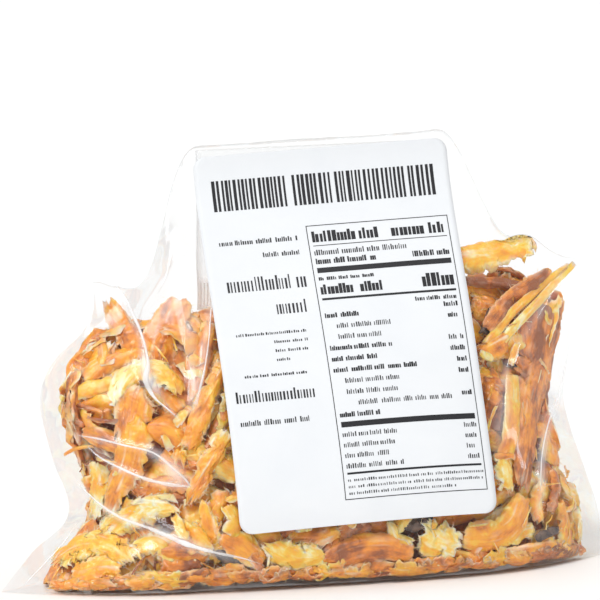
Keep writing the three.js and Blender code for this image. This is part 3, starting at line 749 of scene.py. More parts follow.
# ---------------------------------------------------------------------------------------------------------
# Loose fibres and crumbs: fibres stand off the torn edges like fluff, and crumbs have sunk to the bottom.
# Both are scattered over the bits by Geometry Nodes and made real.
# ---------------------------------------------------------------------------------------------------------
def scatter_group(name, build):
    """A Geometry Nodes group with named inputs; build adds what is scattered and returns its last node."""
    group = bpy.data.node_groups.new(name, "GeometryNodeTree")
    face = group.interface
    face.new_socket("Geometry", in_out="INPUT", socket_type="NodeSocketGeometry")
    face.new_socket("Per Square Metre", in_out="INPUT", socket_type="NodeSocketFloat")
    face.new_socket("Size", in_out="INPUT", socket_type="NodeSocketFloat")
    face.new_socket("Seed", in_out="INPUT", socket_type="NodeSocketInt")
    face.new_socket("Material", in_out="INPUT", socket_type="NodeSocketMaterial")
    face.new_socket("Geometry", in_out="OUTPUT", socket_type="NodeSocketGeometry")
    given, result = group.nodes.new("NodeGroupInput"), group.nodes.new("NodeGroupOutput")
    real = add(group, "GeometryNodeRealizeInstances", (), Geometry=build(group, given).outputs[0])
    place = add(group, "GeometryNodeInputPosition")
    in_mm = add(group, "ShaderNodeVectorMath", {"operation": "SCALE", "Scale": 1000.0}, i0=place.outputs[0])
    shape = real.outputs[0]
    for key, value in (("tone", 0.16), ("pale", 0.55)):
        store = add(group, "GeometryNodeStoreNamedAttribute", {"data_type": "FLOAT"}, Geometry=shape)
        store.inputs["Name"].default_value, store.inputs["Value"].default_value = key, value
        shape = store.outputs[0]
    store = add(group, "GeometryNodeStoreNamedAttribute", {"data_type": "FLOAT_VECTOR", "Name": "fibre"},
                Geometry=shape, Value=in_mm.outputs[0])
    shade = add(group, "GeometryNodeSetMaterial", (), Geometry=store.outputs[0],
                Material=given.outputs["Material"])
    group.links.new(shade.outputs[0], result.inputs[0])
    return group


def fibre_nodes(group, given):
    """Needles that stand off the surface, most where the flesh is torn."""
    torn_share = add(group, "GeometryNodeInputNamedAttribute", {"data_type": "FLOAT", "Name": "pale"})
    density = add(group, "ShaderNodeMath", {"operation": "MULTIPLY"}, i0=torn_share.outputs[0],
                  i1=given.outputs["Per Square Metre"])
    spots = add(group, "GeometryNodeDistributePointsOnFaces", (), Mesh=given.outputs["Geometry"],
                Density=density.outputs[0], Seed=given.outputs["Seed"])
    stray = add(group, "FunctionNodeRandomValue", {"data_type": "FLOAT_VECTOR"}, Seed=given.outputs["Seed"])
    stray.inputs[0].default_value, stray.inputs[1].default_value = (-1.5, -1.5, -1.5), (1.5, 1.5, 1.5)
    aim = add(group, "ShaderNodeVectorMath", {"operation": "ADD"}, i0=spots.outputs["Normal"],
              i1=stray.outputs[0])
    turn = add(group, "FunctionNodeAlignRotationToVector", {"axis": "Z"}, Vector=aim.outputs[0])
    thin = add(group, "ShaderNodeMath", {"operation": "MULTIPLY", 1: 0.06}, i0=given.outputs["Size"])
    needle = add(group, "GeometryNodeMeshCone", {"Vertices": 4}, Radius_Bottom=thin.outputs[0],
                 Depth=given.outputs["Size"])
    needle.inputs["Radius Top"].default_value = 0.0
    length = add(group, "FunctionNodeRandomValue", {"data_type": "FLOAT"}, Seed=given.outputs["Seed"])
    length.inputs[2].default_value, length.inputs[3].default_value = 0.4, 1.6
    return add(group, "GeometryNodeInstanceOnPoints", (), Points=spots.outputs["Points"],
               Instance=needle.outputs[0], Rotation=turn.outputs[0], Scale=length.outputs[1])


def crumb_nodes(group, given):
    """Crumbs, more of them the lower down."""
    place = add(group, "GeometryNodeInputPosition")
    axes = add(group, "ShaderNodeSeparateXYZ", (), Vector=place.outputs[0])
    low_share = add(group, "ShaderNodeMapRange", {"From Min": 60 * MM, "From Max": 4 * MM},
                    Value=axes.outputs[2])
    density = add(group, "ShaderNodeMath", {"operation": "MULTIPLY"}, i0=low_share.outputs[0],
                  i1=given.outputs["Per Square Metre"])
    spots = add(group, "GeometryNodeDistributePointsOnFaces", (), Mesh=given.outputs["Geometry"],
                Density=density.outputs[0], Seed=given.outputs["Seed"])
    crumb = add(group, "GeometryNodeMeshIcoSphere", {"Subdivisions": 1}, Radius=given.outputs["Size"])
    shape = add(group, "FunctionNodeRandomValue", {"data_type": "FLOAT_VECTOR"}, Seed=given.outputs["Seed"])
    shape.inputs[0].default_value, shape.inputs[1].default_value = (0.4, 0.4, 0.25), (2.2, 1.2, 0.7)
    return add(group, "GeometryNodeInstanceOnPoints", (), Points=spots.outputs["Points"],
               Instance=crumb.outputs[0], Rotation=spots.outputs["Rotation"], Scale=shape.outputs[0])


def make_real(name, mesh, group, values):
    """Runs a Geometry Nodes group on a mesh and gives the outcome as a plain piece."""
    piece = bpy.data.objects.new(name, mesh)
    scene.collection.objects.link(piece)
    nodes = piece.modifiers.new("scatter", "NODES")
    nodes.node_group = group
    for item in group.interface.items_tree:
        if item.in_out == "INPUT" and item.name in values:
            nodes[item.identifier] = values[item.name]
    plain = bpy.data.meshes.new_from_object(piece.evaluated_get(bpy.context.evaluated_depsgraph_get()))
    piece.modifiers.clear()
    piece.data = plain
    return piece


def move_points(mesh, rule):
    """Moves all points of a mesh by a rule that takes and gives millimetres."""
    spots = np.empty(len(mesh.vertices) * 3)
    mesh.vertices.foreach_get("co", spots)
    mesh.vertices.foreach_set("co", (rule(spots.reshape(-1, 3) / MM) * MM).ravel())
    mesh.update()


fibre_group = scatter_group("torn_fibres", fibre_nodes)
crumb_group = scatter_group("crumbs", crumb_nodes)
for kind, group, per_metre, size, seed in (
        ("flakes", fibre_group, 1.3e6, 1.9 * MM, 3), ("hood", fibre_group, 1.6e6, 1.9 * MM, 4),
        ("strips", fibre_group, 1.0e6, 1.9 * MM, 5), ("fill_front", fibre_group, 5.0e5, 1.9 * MM, 7),
        ("fill_back", fibre_group, 4.0e5, 1.9 * MM, 8), ("flakes", crumb_group, 2.2e4, 0.45 * MM, 6)):
    source = bpy.data.objects["bits_" + kind].data
    name = ("fibres_" if group is fibre_group else "crumbs_") + kind
    loose = make_real(name, source, group, {"Per Square Metre": per_metre, "Size": size, "Seed": seed,
                                            "Material": dried_cod})
    move_points(loose.data, keep_inside)
    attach(loose, "root")

# ---------------------------------------------------------------------------------------------------------
# The film: clear polyethylene bag, blown thin, that hangs slack between the bits. Creases run where it was
# folded and where it hangs from the tips of the bits. One closed skin just outside the bits.
# ---------------------------------------------------------------------------------------------------------
film_points = np.empty(len(smooth_film.vertices) * 3)
smooth_film.vertices.foreach_get("co", film_points)
film_points = film_points.reshape(-1, 3) / MM
film_ways = np.empty(len(smooth_film.vertices) * 3)
smooth_film.vertices.foreach_get("normal", film_ways)
film_ways = film_ways.reshape(-1, 3)

# Soft creases on the front: width and height on the bag, half width and height of the ridge, and how white
# the film is painted there: partly stretched film gone white, partly painted glints along the crease.
CREASES = [
    [(-69, 116, 1.2, 0.5, 0.3), (-65, 104, 1.4, 1.1, 0.4), (-63, 95, 1.2, 1.1, 0.4),
     (-62.5, 84, 2.6, 1.8, 0.7), (-58, 75, 1.4, 1.0, 0.4), (-52, 66, 1.0, 0.3, 0.2)],
    [(-47, 117, 3.6, 1.6, 0.25), (-46, 104, 3.0, 1.8, 0.3), (-45.5, 92, 2.0, 1.4, 0.35),
     (-46, 74, 1.3, 0.8, 0.6)],
    [(-36, 108, 1.2, 1.0, 0.3), (-40, 92, 1.4, 1.3, 0.35), (-45, 76, 1.7, 1.4, 0.5),
     (-47, 71, 2.0, 0.9, 0.3)],
    [(-89, 61, 1.0, 0.5, 0.2), (-74, 58, 1.3, 1.0, 0.3), (-63, 55, 1.6, 1.2, 0.4),
     (-56, 48, 3.0, 1.4, 0.55), (-50, 42, 1.6, 0.8, 0.4)],
    [(-86, 57, 1.0, 0.5, 0.2), (-75, 49, 1.3, 1.0, 0.3), (-63, 44, 1.5, 1.2, 0.4),
     (-50, 42, 1.6, 0.9, 0.4)],
    [(-96, 50, 1.0, 0.5, 0.2), (-84, 36, 1.2, 1.0, 0.3), (-76, 30, 1.3, 1.2, 0.4),
     (-65, 26, 2.0, 1.4, 0.5), (-54, 21, 2.4, 1.4, 0.5), (-43, 17, 1.6, 1.0, 0.4),
     (-26, 10, 1.2, 0.4, 0.2)],
    [(79, 80, 1.8, 0.4, 0.2), (76, 66, 2.8, 0.8, 0.35), (74, 55, 2.6, 0.7, 0.35), (71, 46, 1.6, 0.3, 0.1)],
    [(109, 92, 1.2, 0.3, 0.1), (108, 79, 1.5, 0.6, 0.25), (104, 66, 2.0, 0.8, 0.3),
     (96, 55, 2.4, 0.9, 0.4), (91, 44, 2.4, 0.9, 0.5), (89, 31, 2.0, 0.6, 0.4), (87, 21, 1.2, 0.3, 0.2)],
    [(108, 112, 2.4, 0.4, 0.15), (100, 104, 2.6, 0.6, 0.2), (92, 95, 2.4, 0.5, 0.2),
     (84, 86, 1.6, 0.3, 0.1)],
]
film_front = film_ways[:, 1] < 0
whitened_and_glint = np.zeros(len(film_points))
# Between the creases the film swells gently, in waves some 17 mm and 6 mm long.
rise = 0.35 * noise(31, film_points[:, 0] / 17, film_points[:, 1] / 17, film_points[:, 2] / 23)
rise = rise + 0.16 * noise(32, film_points[:, 0] / 6, film_points[:, 1] / 6, film_points[:, 2] / 8)
for crease in CREASES:
    knots = np.array(crease)
    line, _ = smooth_path(np.column_stack([knots[:, 0], knots[:, 1], knots[:, 1] * 0, knots[:, 2:]]), 90)
    gap_x = film_points[:, 0][:, None] - line[:, 0][None]
    gap_z = film_points[:, 2][:, None] - line[:, 1][None]
    gap = np.hypot(gap_x, gap_z)
    nearest = gap.argmin(axis=1)
    apart = gap[np.arange(len(gap)), nearest]
    ridge = line[nearest, 4] * np.exp(-(apart / line[nearest, 3]) ** 1.6)
    rise = rise + np.where(film_front, ridge, 0)
    patchy = 0.75 + 0.5 * noise(33, film_points[:, 0] / 5, film_points[:, 2] / 5)
    crest = line[nearest, 5] * np.exp(-(apart / line[nearest, 3]) ** 2) * patchy
    whitened_and_glint = np.maximum(whitened_and_glint, np.where(film_front, crest, 0))
# Under the label the film lies flat against the paper's back.
label_tree = BVHTree.FromObject(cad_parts["label"], bpy.context.evaluated_depsgraph_get())
for n, point in enumerate(film_points):
    if film_front[n]:
        apart = label_tree.find_nearest(Vector(point * MM), 0.006)[3]
        if apart is not None:
            rise[n] = rise[n] * min(1.0, max(0.0, (apart / MM - 1.2) / 4)) - 0.25
film_points = film_points + film_ways * rise[:, None]
film_points[:, 2] = np.maximum(film_points[:, 2], 0.0)
smooth_film.vertices.foreach_set("co", (film_points * MM).ravel())
smooth_film.attributes.new("crease", "FLOAT", "POINT").data.foreach_set("value", whitened_and_glint.astype(np.float32))
smooth_film.update()
smooth_film.polygons.foreach_set("use_smooth", [True] * len(smooth_film.polygons))

# Clear polyethylene film: blown, glossy, about 0.06 mm thick; it lets nearly all light through, is a
# little milky where it is seen edge on, and shows sharp white glints on its creases: some from its gloss,
# the rest painted as white mixed in along the creases.
clear_film, tree, out = new_material("clear_polyethylene_film")
edge_on = add(tree, "ShaderNodeLayerWeight", {"Blend": 0.35})
haze = add(tree, "ShaderNodeMapRange", {"From Min": 0.3, "From Max": 1.0, "To Min": 0.0, "To Max": 0.11},
           Value=edge_on.outputs["Facing"])
# White along the creases: partly film whitened by creasing, partly painted glints.
crease = add(tree, "ShaderNodeAttribute", {"attribute_name": "crease"})  # creased film turns white
whiter = add(tree, "ShaderNodeMath", {"operation": "MULTIPLY_ADD", 1: 0.85, "use_clamp": True},
             i0=crease.outputs["Fac"], i2=haze.outputs[0])
through = add(tree, "ShaderNodeBsdfTransparent", {"Color": (0.985, 0.986, 0.987, 1)})
milk_and_painted_glint = add(tree, "ShaderNodeBsdfDiffuse", {"Color": linear("#fdfdfe")})
veil = add(tree, "ShaderNodeMixShader", (), Fac=whiter.outputs[0], i1=through.outputs[0], i2=milk_and_painted_glint.outputs[0])
gloss = add(tree, "ShaderNodeBsdfGlossy", {"Color": (0.92, 0.97, 1, 1), "Roughness": 0.09})  # a cool sheen
grazing = add(tree, "ShaderNodeFresnel", {"IOR": 1.55})
mirror_part = add(tree, "ShaderNodeMapRange", {"From Max": 0.5, "To Min": 0.0, "To Max": 0.22},
                  Value=grazing.outputs[0])  # thin film: edge on, far less than a solid block gives
film_shade = add(tree, "ShaderNodeMixShader", (), Fac=mirror_part.outputs[0], i1=veil.outputs[0],
                 i2=gloss.outputs[0])
tree.links.new(film_shade.outputs[0], out.inputs[0])
smooth_film.materials.clear()
smooth_film.materials.append(clear_film)
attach(film, "root")
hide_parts("bag")

# Sharp creases, where the film is pinched into a fine upright fold: width and height on the bag, half
# width. The folds are painted white: partly film whitened in the fold, partly painted glints.
PINCHES = [
    (-1, [(-71, 118, 0.3), (-67, 112, 0.5), (-65, 106, 0.6), (-63, 98, 0.6), (-62, 89, 0.75),
          (-63.5, 82.5, 1.5), (-61, 76, 0.6), (-56, 71, 0.4), (-52, 67, 0.2)]),
    (-1, [(-34, 115, 0.15), (-36, 106, 0.25), (-38, 96, 0.3), (-41, 85, 0.5), (-44, 77, 0.7),
          (-46, 72, 0.9)]),
    (-1, [(-89, 61, 0.2), (-82, 60, 0.4), (-74, 58, 0.4), (-63, 55, 0.45), (-56, 49, 0.6), (-52, 45, 0.5),
          (-50, 42, 0.3)]),
    (-1, [(-86, 57, 0.2), (-82, 53, 0.4), (-75, 49, 0.5), (-66, 45, 0.7), (-58, 43, 0.8), (-50, 42, 0.4)]),
    (-1, [(-90, 43, 0.1), (-84, 36, 0.4), (-76, 30, 0.6), (-65, 26, 0.8), (-54, 21, 1.1), (-43, 17, 0.8),
          (-32, 14, 0.4), (-24, 11, 0.2)]),
    (-1, [(-112, 3, 0.15), (-104, 11, 0.3), (-96, 19, 0.3), (-90, 26, 0.15)]),
    (-1, [(108, 79, 0.15), (104, 66, 0.3), (96, 55, 0.4), (91, 44, 0.3), (89, 31, 0.2)]),
    (1, [(-88, 78, 0.1), (-78, 69, 0.7), (-66, 62, 0.4), (-58, 60, 0.1)]),
    (1, [(-66, 30, 0.1), (-52, 29, 0.8), (-38, 24, 0.3), (-30, 20, 0.1)]),
    (1, [(38, 76, 0.1), (44, 66, 0.9), (48, 56, 0.3), (50, 50, 0.1)]),
    (1, [(86, 90, 0.1), (83, 78, 0.8), (82, 68, 0.3), (84, 60, 0.1)]),
]
PINCH_SIDES = 8  # points round a low arch
BACK_WHITE = 0.4  # creases on the back are fainter
film_tree = BVHTree.FromObject(film, bpy.context.evaluated_depsgraph_get())
pinch_points, pinch_faces, pinch_white_and_glint = [], [], []
for facing, knots in PINCHES:
    knots = np.array(knots, dtype=float)
    line, length = smooth_path(np.column_stack([knots[:, :2], knots[:, 1] * 0, knots[:, 2]]), 8 * len(knots))
    centre = []
    for x, z in line[:, :2]:
        hit = film_tree.ray_cast(Vector((x * MM, 0.3 * facing, z * MM)), Vector((0, -facing, 0)))
        hit = hit if hit[0] else film_tree.find_nearest(Vector((x * MM, 0, z * MM)))
        centre.append([*(np.array(hit[0]) / MM), *hit[1]])
    centre = np.array(centre)
    run = unit(np.gradient(centre[:, :3], axis=0))
    across = unit(np.cross(run, centre[:, 3:]))
    share = np.linspace(0, 1, len(line))
    wide = np.maximum(0.06, line[:, 3] * (0.85 + 0.5 * noise(61, share * length / 4)))
    first = sum(len(p) for p in pinch_points)
    faint = np.clip(0.6 + 0.55 * noise(62, share * length / 4), 0.1, 1) * (1 if facing < 0 else BACK_WHITE)
    for k in range(PINCH_SIDES):
        turn = 2 * math.pi * k / PINCH_SIDES
        lift = math.sin(turn) * (0.75 if math.sin(turn) > 0 else 0.2)
        pinch_points.append(centre[:, :3] + across * (wide * math.cos(turn))[:, None]
                            + centre[:, 3:] * (0.05 + wide * lift)[:, None])
        pinch_white_and_glint.append(np.sin(math.pi * share) ** 0.4 * faint)
    count = len(line)
    for k in range(PINCH_SIDES):
        for n in range(count - 1):
            a, b = first + k * count + n, first + (k + 1) % PINCH_SIDES * count + n
            pinch_faces.append((a, b, b + 1, a + 1))
    pinch_faces.append([first + k * count for k in reversed(range(PINCH_SIDES))])
    pinch_faces.append([first + k * count + count - 1 for k in range(PINCH_SIDES)])
pinches = make_object("film_pinches", np.vstack(pinch_points), pinch_faces, clear_film,
                      {"crease": np.concatenate(pinch_white_and_glint)})
arches = bmesh.new()
arches.from_mesh(pinches.data)
bmesh.ops.recalc_face_normals(arches, faces=arches.faces)
arches.to_mesh(pinches.data)
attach(pinches, "root")

# ---------------------------------------------------------------------------------------------------------
# The folded end: the bag's mouth is heat sealed, folded over the top and laid down the back. The seal is a
# band of fine crimp ribs that the jaws pressed in.
# ---------------------------------------------------------------------------------------------------------
FLAP = {"left": -36.0, "right": 58.0, "fold": 168.0, "end": 104.0, "thick": 0.12, "seal": 10.0}
FLAP_ROWS, FLAP_COLUMNS = 44, 70


def on_flap(x, z, lift):
    """Place on the flap behind the bag: width, height, and lift off the back of the film."""
    spots = np.empty(np.shape(x) + (3,))
    for place in np.ndindex(np.shape(x)):
        start = Vector((x[place] * MM, 0.2, z[place] * MM))
        hit = wall.ray_cast(start, Vector((0, -1, 0)))[0]
        hit = hit or wall.find_nearest(start - Vector((0, 0.2, 0)))[0]
        spots[place] = (x[place], hit.y / MM, z[place])
    for _ in range(6):  # the flap is stiffer than the film under it, so it bridges small bumps
        spots[1:-1, 1:-1, 1] = np.maximum(
            spots[1:-1, 1:-1, 1],
            (spots[:-2, 1:-1, 1] + spots[2:, 1:-1, 1] + spots[1:-1, :-2, 1] + spots[1:-1, 2:, 1]) / 4)
    hang = np.clip((FLAP["fold"] - z) / 10, 0, 1)
    spots[..., 1] += lift + hang * (0.7 + 0.5 * noise(51, x / 21, z / 16))
    return spots


from_middle = np.linspace(-1, 1, FLAP_COLUMNS)
flap_x, flap_z = np.meshgrid(np.linspace(FLAP["left"], FLAP["right"], FLAP_COLUMNS),
                             np.linspace(FLAP["fold"], FLAP["end"], FLAP_ROWS))
flap_x = flap_x + 1.2 * noise(52, flap_z / 18) * from_middle ** 3
flap_out = on_flap(flap_x, flap_z, 0.3 + FLAP["thick"])
flap_in = flap_out - (0, FLAP["thick"], 0)
flap_edge = np.minimum(1 - np.abs(from_middle)[None], np.linspace(0, 1, FLAP_ROWS)[::-1][:, None] * 1.4)
flap_white = 0.06 + 0.4 * np.exp(-(flap_edge / 0.03) ** 2) + 0.12 * (flap_z < FLAP["end"] + FLAP["seal"] + 2)

flap = make_object("folded_end", np.vstack([flap_out.reshape(-1, 3), flap_in.reshape(-1, 3)]),
                   slab_faces(*flap_x.shape), clear_film, {"crease": np.tile(flap_white.ravel(), 2)})
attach(flap, "root")


def rib_group():
    """A row of upright crimp ribs: Geometry Nodes with named inputs."""
    group = bpy.data.node_groups.new("crimp_ribs", "GeometryNodeTree")
    face = group.interface
    for name, kind in (("Count", "Int"), ("Pitch", "Float"), ("Height", "Float"), ("Material", "Material")):
        face.new_socket(name, in_out="INPUT", socket_type="NodeSocket" + kind)
    face.new_socket("Geometry", in_out="OUTPUT", socket_type="NodeSocketGeometry")
    given, result = group.nodes.new("NodeGroupInput"), group.nodes.new("NodeGroupOutput")
    step = add(group, "ShaderNodeCombineXYZ", (), X=given.outputs["Pitch"])
    row = add(group, "GeometryNodeMeshLine", (), Count=given.outputs["Count"], Offset=step.outputs[0])
    broad = add(group, "ShaderNodeMath", {"operation": "MULTIPLY", 1: 0.5}, i0=given.outputs["Pitch"])
    size = add(group, "ShaderNodeCombineXYZ", {"Y": 0.25 * MM}, X=broad.outputs[0],
               Z=given.outputs["Height"])
    rib = add(group, "GeometryNodeMeshCube", (), Size=size.outputs[0])
    rib.inputs["Vertices Z"].default_value = 8
    ribs = add(group, "GeometryNodeInstanceOnPoints", (), Points=row.outputs[0], Instance=rib.outputs[0])
    real = add(group, "GeometryNodeRealizeInstances", (), Geometry=ribs.outputs[0])
    store = add(group, "GeometryNodeStoreNamedAttribute", {"data_type": "FLOAT", "Name": "crease"},
                Geometry=real.outputs[0])
    store.inputs["Value"].default_value = 0.35  # the film is pressed milky there
    shade = add(group, "GeometryNodeSetMaterial", (), Geometry=store.outputs[0],
                Material=given.outputs["Material"])
    group.links.new(shade.outputs[0], result.inputs[0])
    return group


def onto_flap(points):
    """Bends the row of ribs on to the end of the flap."""
    bent = points.copy()
    for n, (x, y, z) in enumerate(points):
        place_x, place_z = FLAP["left"] + 1.5 + x, FLAP["end"] + FLAP["seal"] / 2 + 1 + z
        column = np.clip((place_x - FLAP["left"]) / (FLAP["right"] - FLAP["left"]), 0, 1) * (FLAP_COLUMNS - 1)
        row = np.clip((FLAP["fold"] - place_z) / (FLAP["fold"] - FLAP["end"]), 0, 1) * (FLAP_ROWS - 1)
        i, j = min(int(row), FLAP_ROWS - 2), min(int(column), FLAP_COLUMNS - 2)
        a, b = row - i, column - j
        bent[n] = ((1 - a) * (1 - b) * flap_out[i, j] + (1 - a) * b * flap_out[i, j + 1]
                   + a * (1 - b) * flap_out[i + 1, j] + a * b * flap_out[i + 1, j + 1])
        bent[n, 1] += y
    return bent


ribs = make_real("seal_ribs", bpy.data.meshes.new("seal_ribs"), rib_group(),
                 {"Count": 66, "Pitch": 1.4 * MM, "Height": FLAP["seal"] * MM, "Material": clear_film})
move_points(ribs.data, onto_flap)
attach(ribs, "root")

# ---------------------------------------------------------------------------------------------------------
# The label: white paper, 101.6 by 152.4 mm with round corners, stuck to the film and a little stiffer than
# it, so it bridges the film's small bumps and has only a few faint wrinkles.
# ---------------------------------------------------------------------------------------------------------
LABEL = {"width": 101.6, "height": 152.4, "corner": 5.0, "thick": 0.22}
label_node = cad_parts["label"].data
label_points = np.array([v.co[:] for v in label_node.vertices]) / MM
label_axes = np.linalg.svd(label_points - label_points.mean(axis=0), full_matrices=False)[2]
label_up = label_axes[0] * np.sign(label_axes[0][2])
label_side = label_axes[1] * np.sign(label_axes[1][0])
label_out = np.cross(label_side, label_up)
label_out = label_out * -np.sign(label_out[1])
flat = label_points - label_points.mean(axis=0)
flat_u, flat_v, flat_n = flat @ label_side, flat @ label_up, flat @ label_out
centre_u, centre_v = (flat_u.min() + flat_u.max()) / 2, (flat_v.min() + flat_v.max()) / 2
flat_u, flat_v = flat_u - centre_u, flat_v - centre_v
FIT_SCALE = (50, 76)  # about half the width and half the height
powers = [(i, j) for i in range(4) for j in range(7) if i + j <= 6]
basis = np.stack([(flat_u / FIT_SCALE[0]) ** i * (flat_v / FIT_SCALE[1]) ** j for i, j in powers], axis=1)
fit = np.linalg.lstsq(basis, flat_n, rcond=None)[0]
stretch_v = (flat_v.max() - flat_v.min()) / LABEL["height"]
label_middle = label_points.mean(axis=0) + label_side * centre_u + label_up * centre_v


def on_label(u, v, lift):
    """Place on the label: u from its left edge, v down from its top edge, lift off the paper's middle."""
    x = np.asarray(u, dtype=float) - LABEL["width"] / 2
    y = (LABEL["height"] / 2 - np.asarray(v, dtype=float)) * stretch_v
    depth = sum(c * (x / FIT_SCALE[0]) ** i * (y / FIT_SCALE[1]) ** j for c, (i, j) in zip(fit, powers))
    waves = 0.16 * noise(41, x / 24, y / 30) + 0.07 * noise(42, x / 9, y / 12)
    depth = depth + waves + lift
    return label_middle + x[..., None] * label_side + y[..., None] * label_up + depth[..., None] * label_out


# Smooth label paper: bleached, coated a little, matt; faint grey shadows where it is wrinkled, at about
# every 24 mm.
label_paper, tree, out = new_material("coated_label_paper")
place = add(tree, "ShaderNodeTexCoord")
wrinkles = add(tree, "ShaderNodeTexNoise",
               {"Scale": 42.0, "Detail": 3.0, "Roughness": 0.5, "Distortion": 0.6},
               Vector=place.outputs["Object"])
tooth = add(tree, "ShaderNodeTexNoise", {"Scale": 2500.0, "Detail": 2.0}, Vector=place.outputs["Object"])
whites = add(tree, "ShaderNodeMix", {"data_type": "RGBA"}, Factor=wrinkles.outputs[0])
whites.inputs[6].default_value = linear("#dcdfe3")
whites.inputs[7].default_value = linear("#e5e7e9")
soft = add(tree, "ShaderNodeBump", {"Strength": 0.25, "Distance": 0.8 * MM}, Height=wrinkles.outputs[0])
fine = add(tree, "ShaderNodeBump", {"Strength": 0.12, "Distance": 0.02 * MM}, Height=tooth.outputs[0],
           Normal=soft.outputs[0])
paper_shade = add(tree, "ShaderNodeBsdfPrincipled", {"Roughness": 0.6, "Specular IOR Level": 0.15},
                  Base_Color=whites.outputs[2], Normal=fine.outputs[0])
tree.links.new(paper_shade.outputs[0], out.inputs[0])


def label_half_width(v):
    """Half the label's width at v down from its top, less at its round corners."""
    inset = min(v, LABEL["height"] - v)
    short = max(0.0, LABEL["corner"] - inset)
    return LABEL["width"] / 2 - LABEL["corner"] + math.sqrt(LABEL["corner"] ** 2 - short ** 2)


CORNER_STEPS = 6
turns = [LABEL["corner"] * (1 - math.cos(math.pi / 2 * k / CORNER_STEPS)) for k in range(CORNER_STEPS + 1)]
label_rows = turns + list(np.linspace(LABEL["corner"], LABEL["height"] - LABEL["corner"], 74)[1:-1])
label_rows += [LABEL["height"] - t for t in reversed(turns)]
label_columns = np.linspace(-1, 1, 52)
grid_v = np.array(label_rows)[:, None] + 0 * label_columns[None]
half_widths = np.array([label_half_width(v) for v in label_rows])
grid_u = LABEL["width"] / 2 + half_widths[:, None] * label_columns[None]
paper_front = on_label(grid_u, grid_v, LABEL["thick"] / 2)
paper_back = on_label(grid_u, grid_v, -LABEL["thick"] / 2)
label_sheet = make_object("label_sheet", np.vstack([paper_front.reshape(-1, 3), paper_back.reshape(-1, 3)]),
                          slab_faces(*grid_u.shape)[:, [0, 3, 2, 1]], label_paper)
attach(label_sheet, "root")
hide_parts("label")

# ---------------------------------------------------------------------------------------------------------
# The print: black thermal print, here as plain strokes, bars and rules with no letters in them. A title
# row on top, a ruled table at the right and a column of short lines at the left.
# ---------------------------------------------------------------------------------------------------------
black_print, tree, out = new_material("black_thermal_print")
place = add(tree, "ShaderNodeTexCoord")
speck = add(tree, "ShaderNodeTexNoise", {"Scale": 1800.0, "Detail": 2.0}, Vector=place.outputs["Object"])
inks = add(tree, "ShaderNodeMix", {"data_type": "RGBA"}, Factor=speck.outputs[0])
inks.inputs[6].default_value = linear("#0d0d10")
inks.inputs[7].default_value = linear("#2b2b30")
ink_shade = add(tree, "ShaderNodeBsdfPrincipled", {"Roughness": 0.5, "Specular IOR Level": 0.3},
                Base_Color=inks.outputs[2])
tree.links.new(ink_shade.outputs[0], out.inputs[0])
PRINT_LIFT = LABEL["thick"] / 2 + 0.06
print_points, print_faces = [], []


def bar(u0, v0, u1, v1):
    """A printed rectangle between two corners, cut up so that it follows the paper."""
    across, down = max(1, math.ceil((u1 - u0) / 2.5)), max(1, math.ceil((v1 - v0) / 2.5))
    us, vs = np.meshgrid(np.linspace(u0, u1, across + 1), np.linspace(v0, v1, down + 1))
    first = sum(len(p) for p in print_points)
    print_points.append(on_label(us, vs, PRINT_LIFT).reshape(-1, 3))
    for j in range(down):
        for i in range(across):
            a = first + j * (across + 1) + i
            print_faces.append((a, a + across + 1, a + across + 2, a + 1))


def strokes(u0, u1, v0, v1, pitch, weight, seed, low_share=0.25):
    """A row of upright strokes, like set type seen from far off, but with no letters."""
    dice = np.random.default_rng(seed)
    u = u0
    while u < u1 - pitch * 0.3:
        gap = pitch * dice.uniform(0.8, 1.2)
        stroke = gap * min(0.86, weight * dice.uniform(0.7, 1.25))
        bar(u, v0 + (v1 - v0) * low_share * (dice.random() < 0.6), u + stroke, v1)
        u += gap


def words(u0, u1, v, tall, weight, seed):
    """A line of short runs of strokes, each as long as a word, with its foot at v."""
    dice = np.random.default_rng(seed)
    u = u0
    while u < u1 - tall * 0.5:
        run = min(u1 - u, tall * dice.uniform(1.6, 4.2))
        strokes(u, u + run, v - tall, v, max(0.8, tall * 0.36), min(0.84, weight + 0.18), seed + int(u * 7))
        u += run + tall * 0.55


for word, (u0, u1) in enumerate(((6.5, 36.5), (38.5, 53.5), (55.5, 83.0), (85.0, 95.5))):
    strokes(u0, u1, 9.6, 22.0, 1.7, 0.6, 50 + word, low_share=0.0)
words(6.5, 38, 36.5, 2.0, 0.42, 61)
words(23, 38.5, 42.5, 2.0, 0.42, 62)
strokes(7, 33, 50.5, 56.5, 1.35, 0.5, 63)
strokes(34.5, 39, 50.5, 56.5, 1.35, 0.5, 64)
strokes(25, 36.5, 61.5, 67, 1.35, 0.5, 65)
for row, (u0, u1) in enumerate(((7.5, 36), (22, 35.5), (22, 35.5), (22, 27))):
    words(u0, u1, 75.2 + row * 3.7, 1.15, 0.4, 70 + row)
words(8.5, 33, 92.3, 1.15, 0.5, 75)
strokes(4, 35, 97.6, 102.2, 1.25, 0.48, 76)
words(4.5, 31.5, 111.5, 2.2, 0.4, 77)
FRAME = {"left": 41.5, "right": 98.4, "top": 30.8, "bottom": 143.2, "line": 0.32}
bar(FRAME["left"], FRAME["top"], FRAME["right"], FRAME["top"] + FRAME["line"])
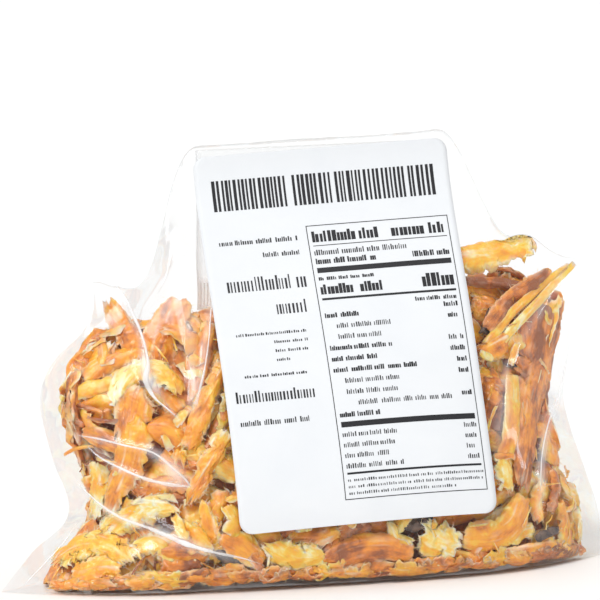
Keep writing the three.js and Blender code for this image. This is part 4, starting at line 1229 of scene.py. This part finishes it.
bar(FRAME["left"], FRAME["bottom"], FRAME["right"], FRAME["bottom"] + FRAME["line"])
bar(FRAME["left"], FRAME["top"], FRAME["left"] + FRAME["line"], FRAME["bottom"])
bar(FRAME["right"] - FRAME["line"], FRAME["top"], FRAME["right"], FRAME["bottom"])
row_left, row_right = FRAME["left"] + 1.8, FRAME["right"] - 1.4
words(row_left, 73, 38.0, 4.6, 0.62, 80)
words(75, row_right, 38.0, 4.6, 0.62, 81)
bar(row_left, 39.4, row_right, 39.7)
words(row_left, 80, 43.6, 2.3, 0.36, 82)
words(row_left, 67, 47.4, 2.4, 0.6, 83)
words(82, row_right, 47.4, 2.4, 0.6, 84)
bar(row_left, 49.0, row_right, 51.2)
words(row_left, 65, 54.4, 1.4, 0.6, 85)
words(row_left, 68, 60.4, 4.2, 0.66, 86)
words(84, row_right, 60.4, 5.6, 0.7, 87)
bar(row_left, 62.0, row_right, 62.9)
words(80, row_right, 66.1, 1.7, 0.55, 88)
# Rows of the table: indent, length of the left entry, and length of the right one.
ROWS = [(0, 14, 6), (4, 22, 5), (4, 17, 0), (0, 25, 6), (0, 18, 6),
        (0, 34, 4), (4, 22, 4), (4, 21, 0), (8, 38, 4), (0, 16, 0)]
for row, (indent, run, share) in enumerate(ROWS):
    v = 70.4 + row * 4.55
    bold = indent == 0
    words(row_left + indent, row_left + indent + run, v, 2.0, 0.58 if bold else 0.34, 90 + row)
    if share:
        words(row_right - share, row_right, v - 1.2, 2.0, 0.55, 110 + row)
bar(row_left, 113.2, row_right, 115.4)
for row, run in enumerate((22, 20, 17, 23)):
    v = 119.2 + row * 4.15
    words(row_left, row_left + run, v, 1.9, 0.34, 130 + row)
    words(row_right - 5, row_right, v - 0.6, 1.9, 0.36, 140 + row)
bar(row_left, 133.2, row_right, 134.0)
for row, run in enumerate((54, 54, 43)):
    words(row_left, row_left + run, 136.7 + row * 2.5, 1.1, 0.3, 150 + row)
print_sheet = make_object("label_print", np.vstack(print_points), print_faces, black_print, smooth=False)
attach(print_sheet, "root")
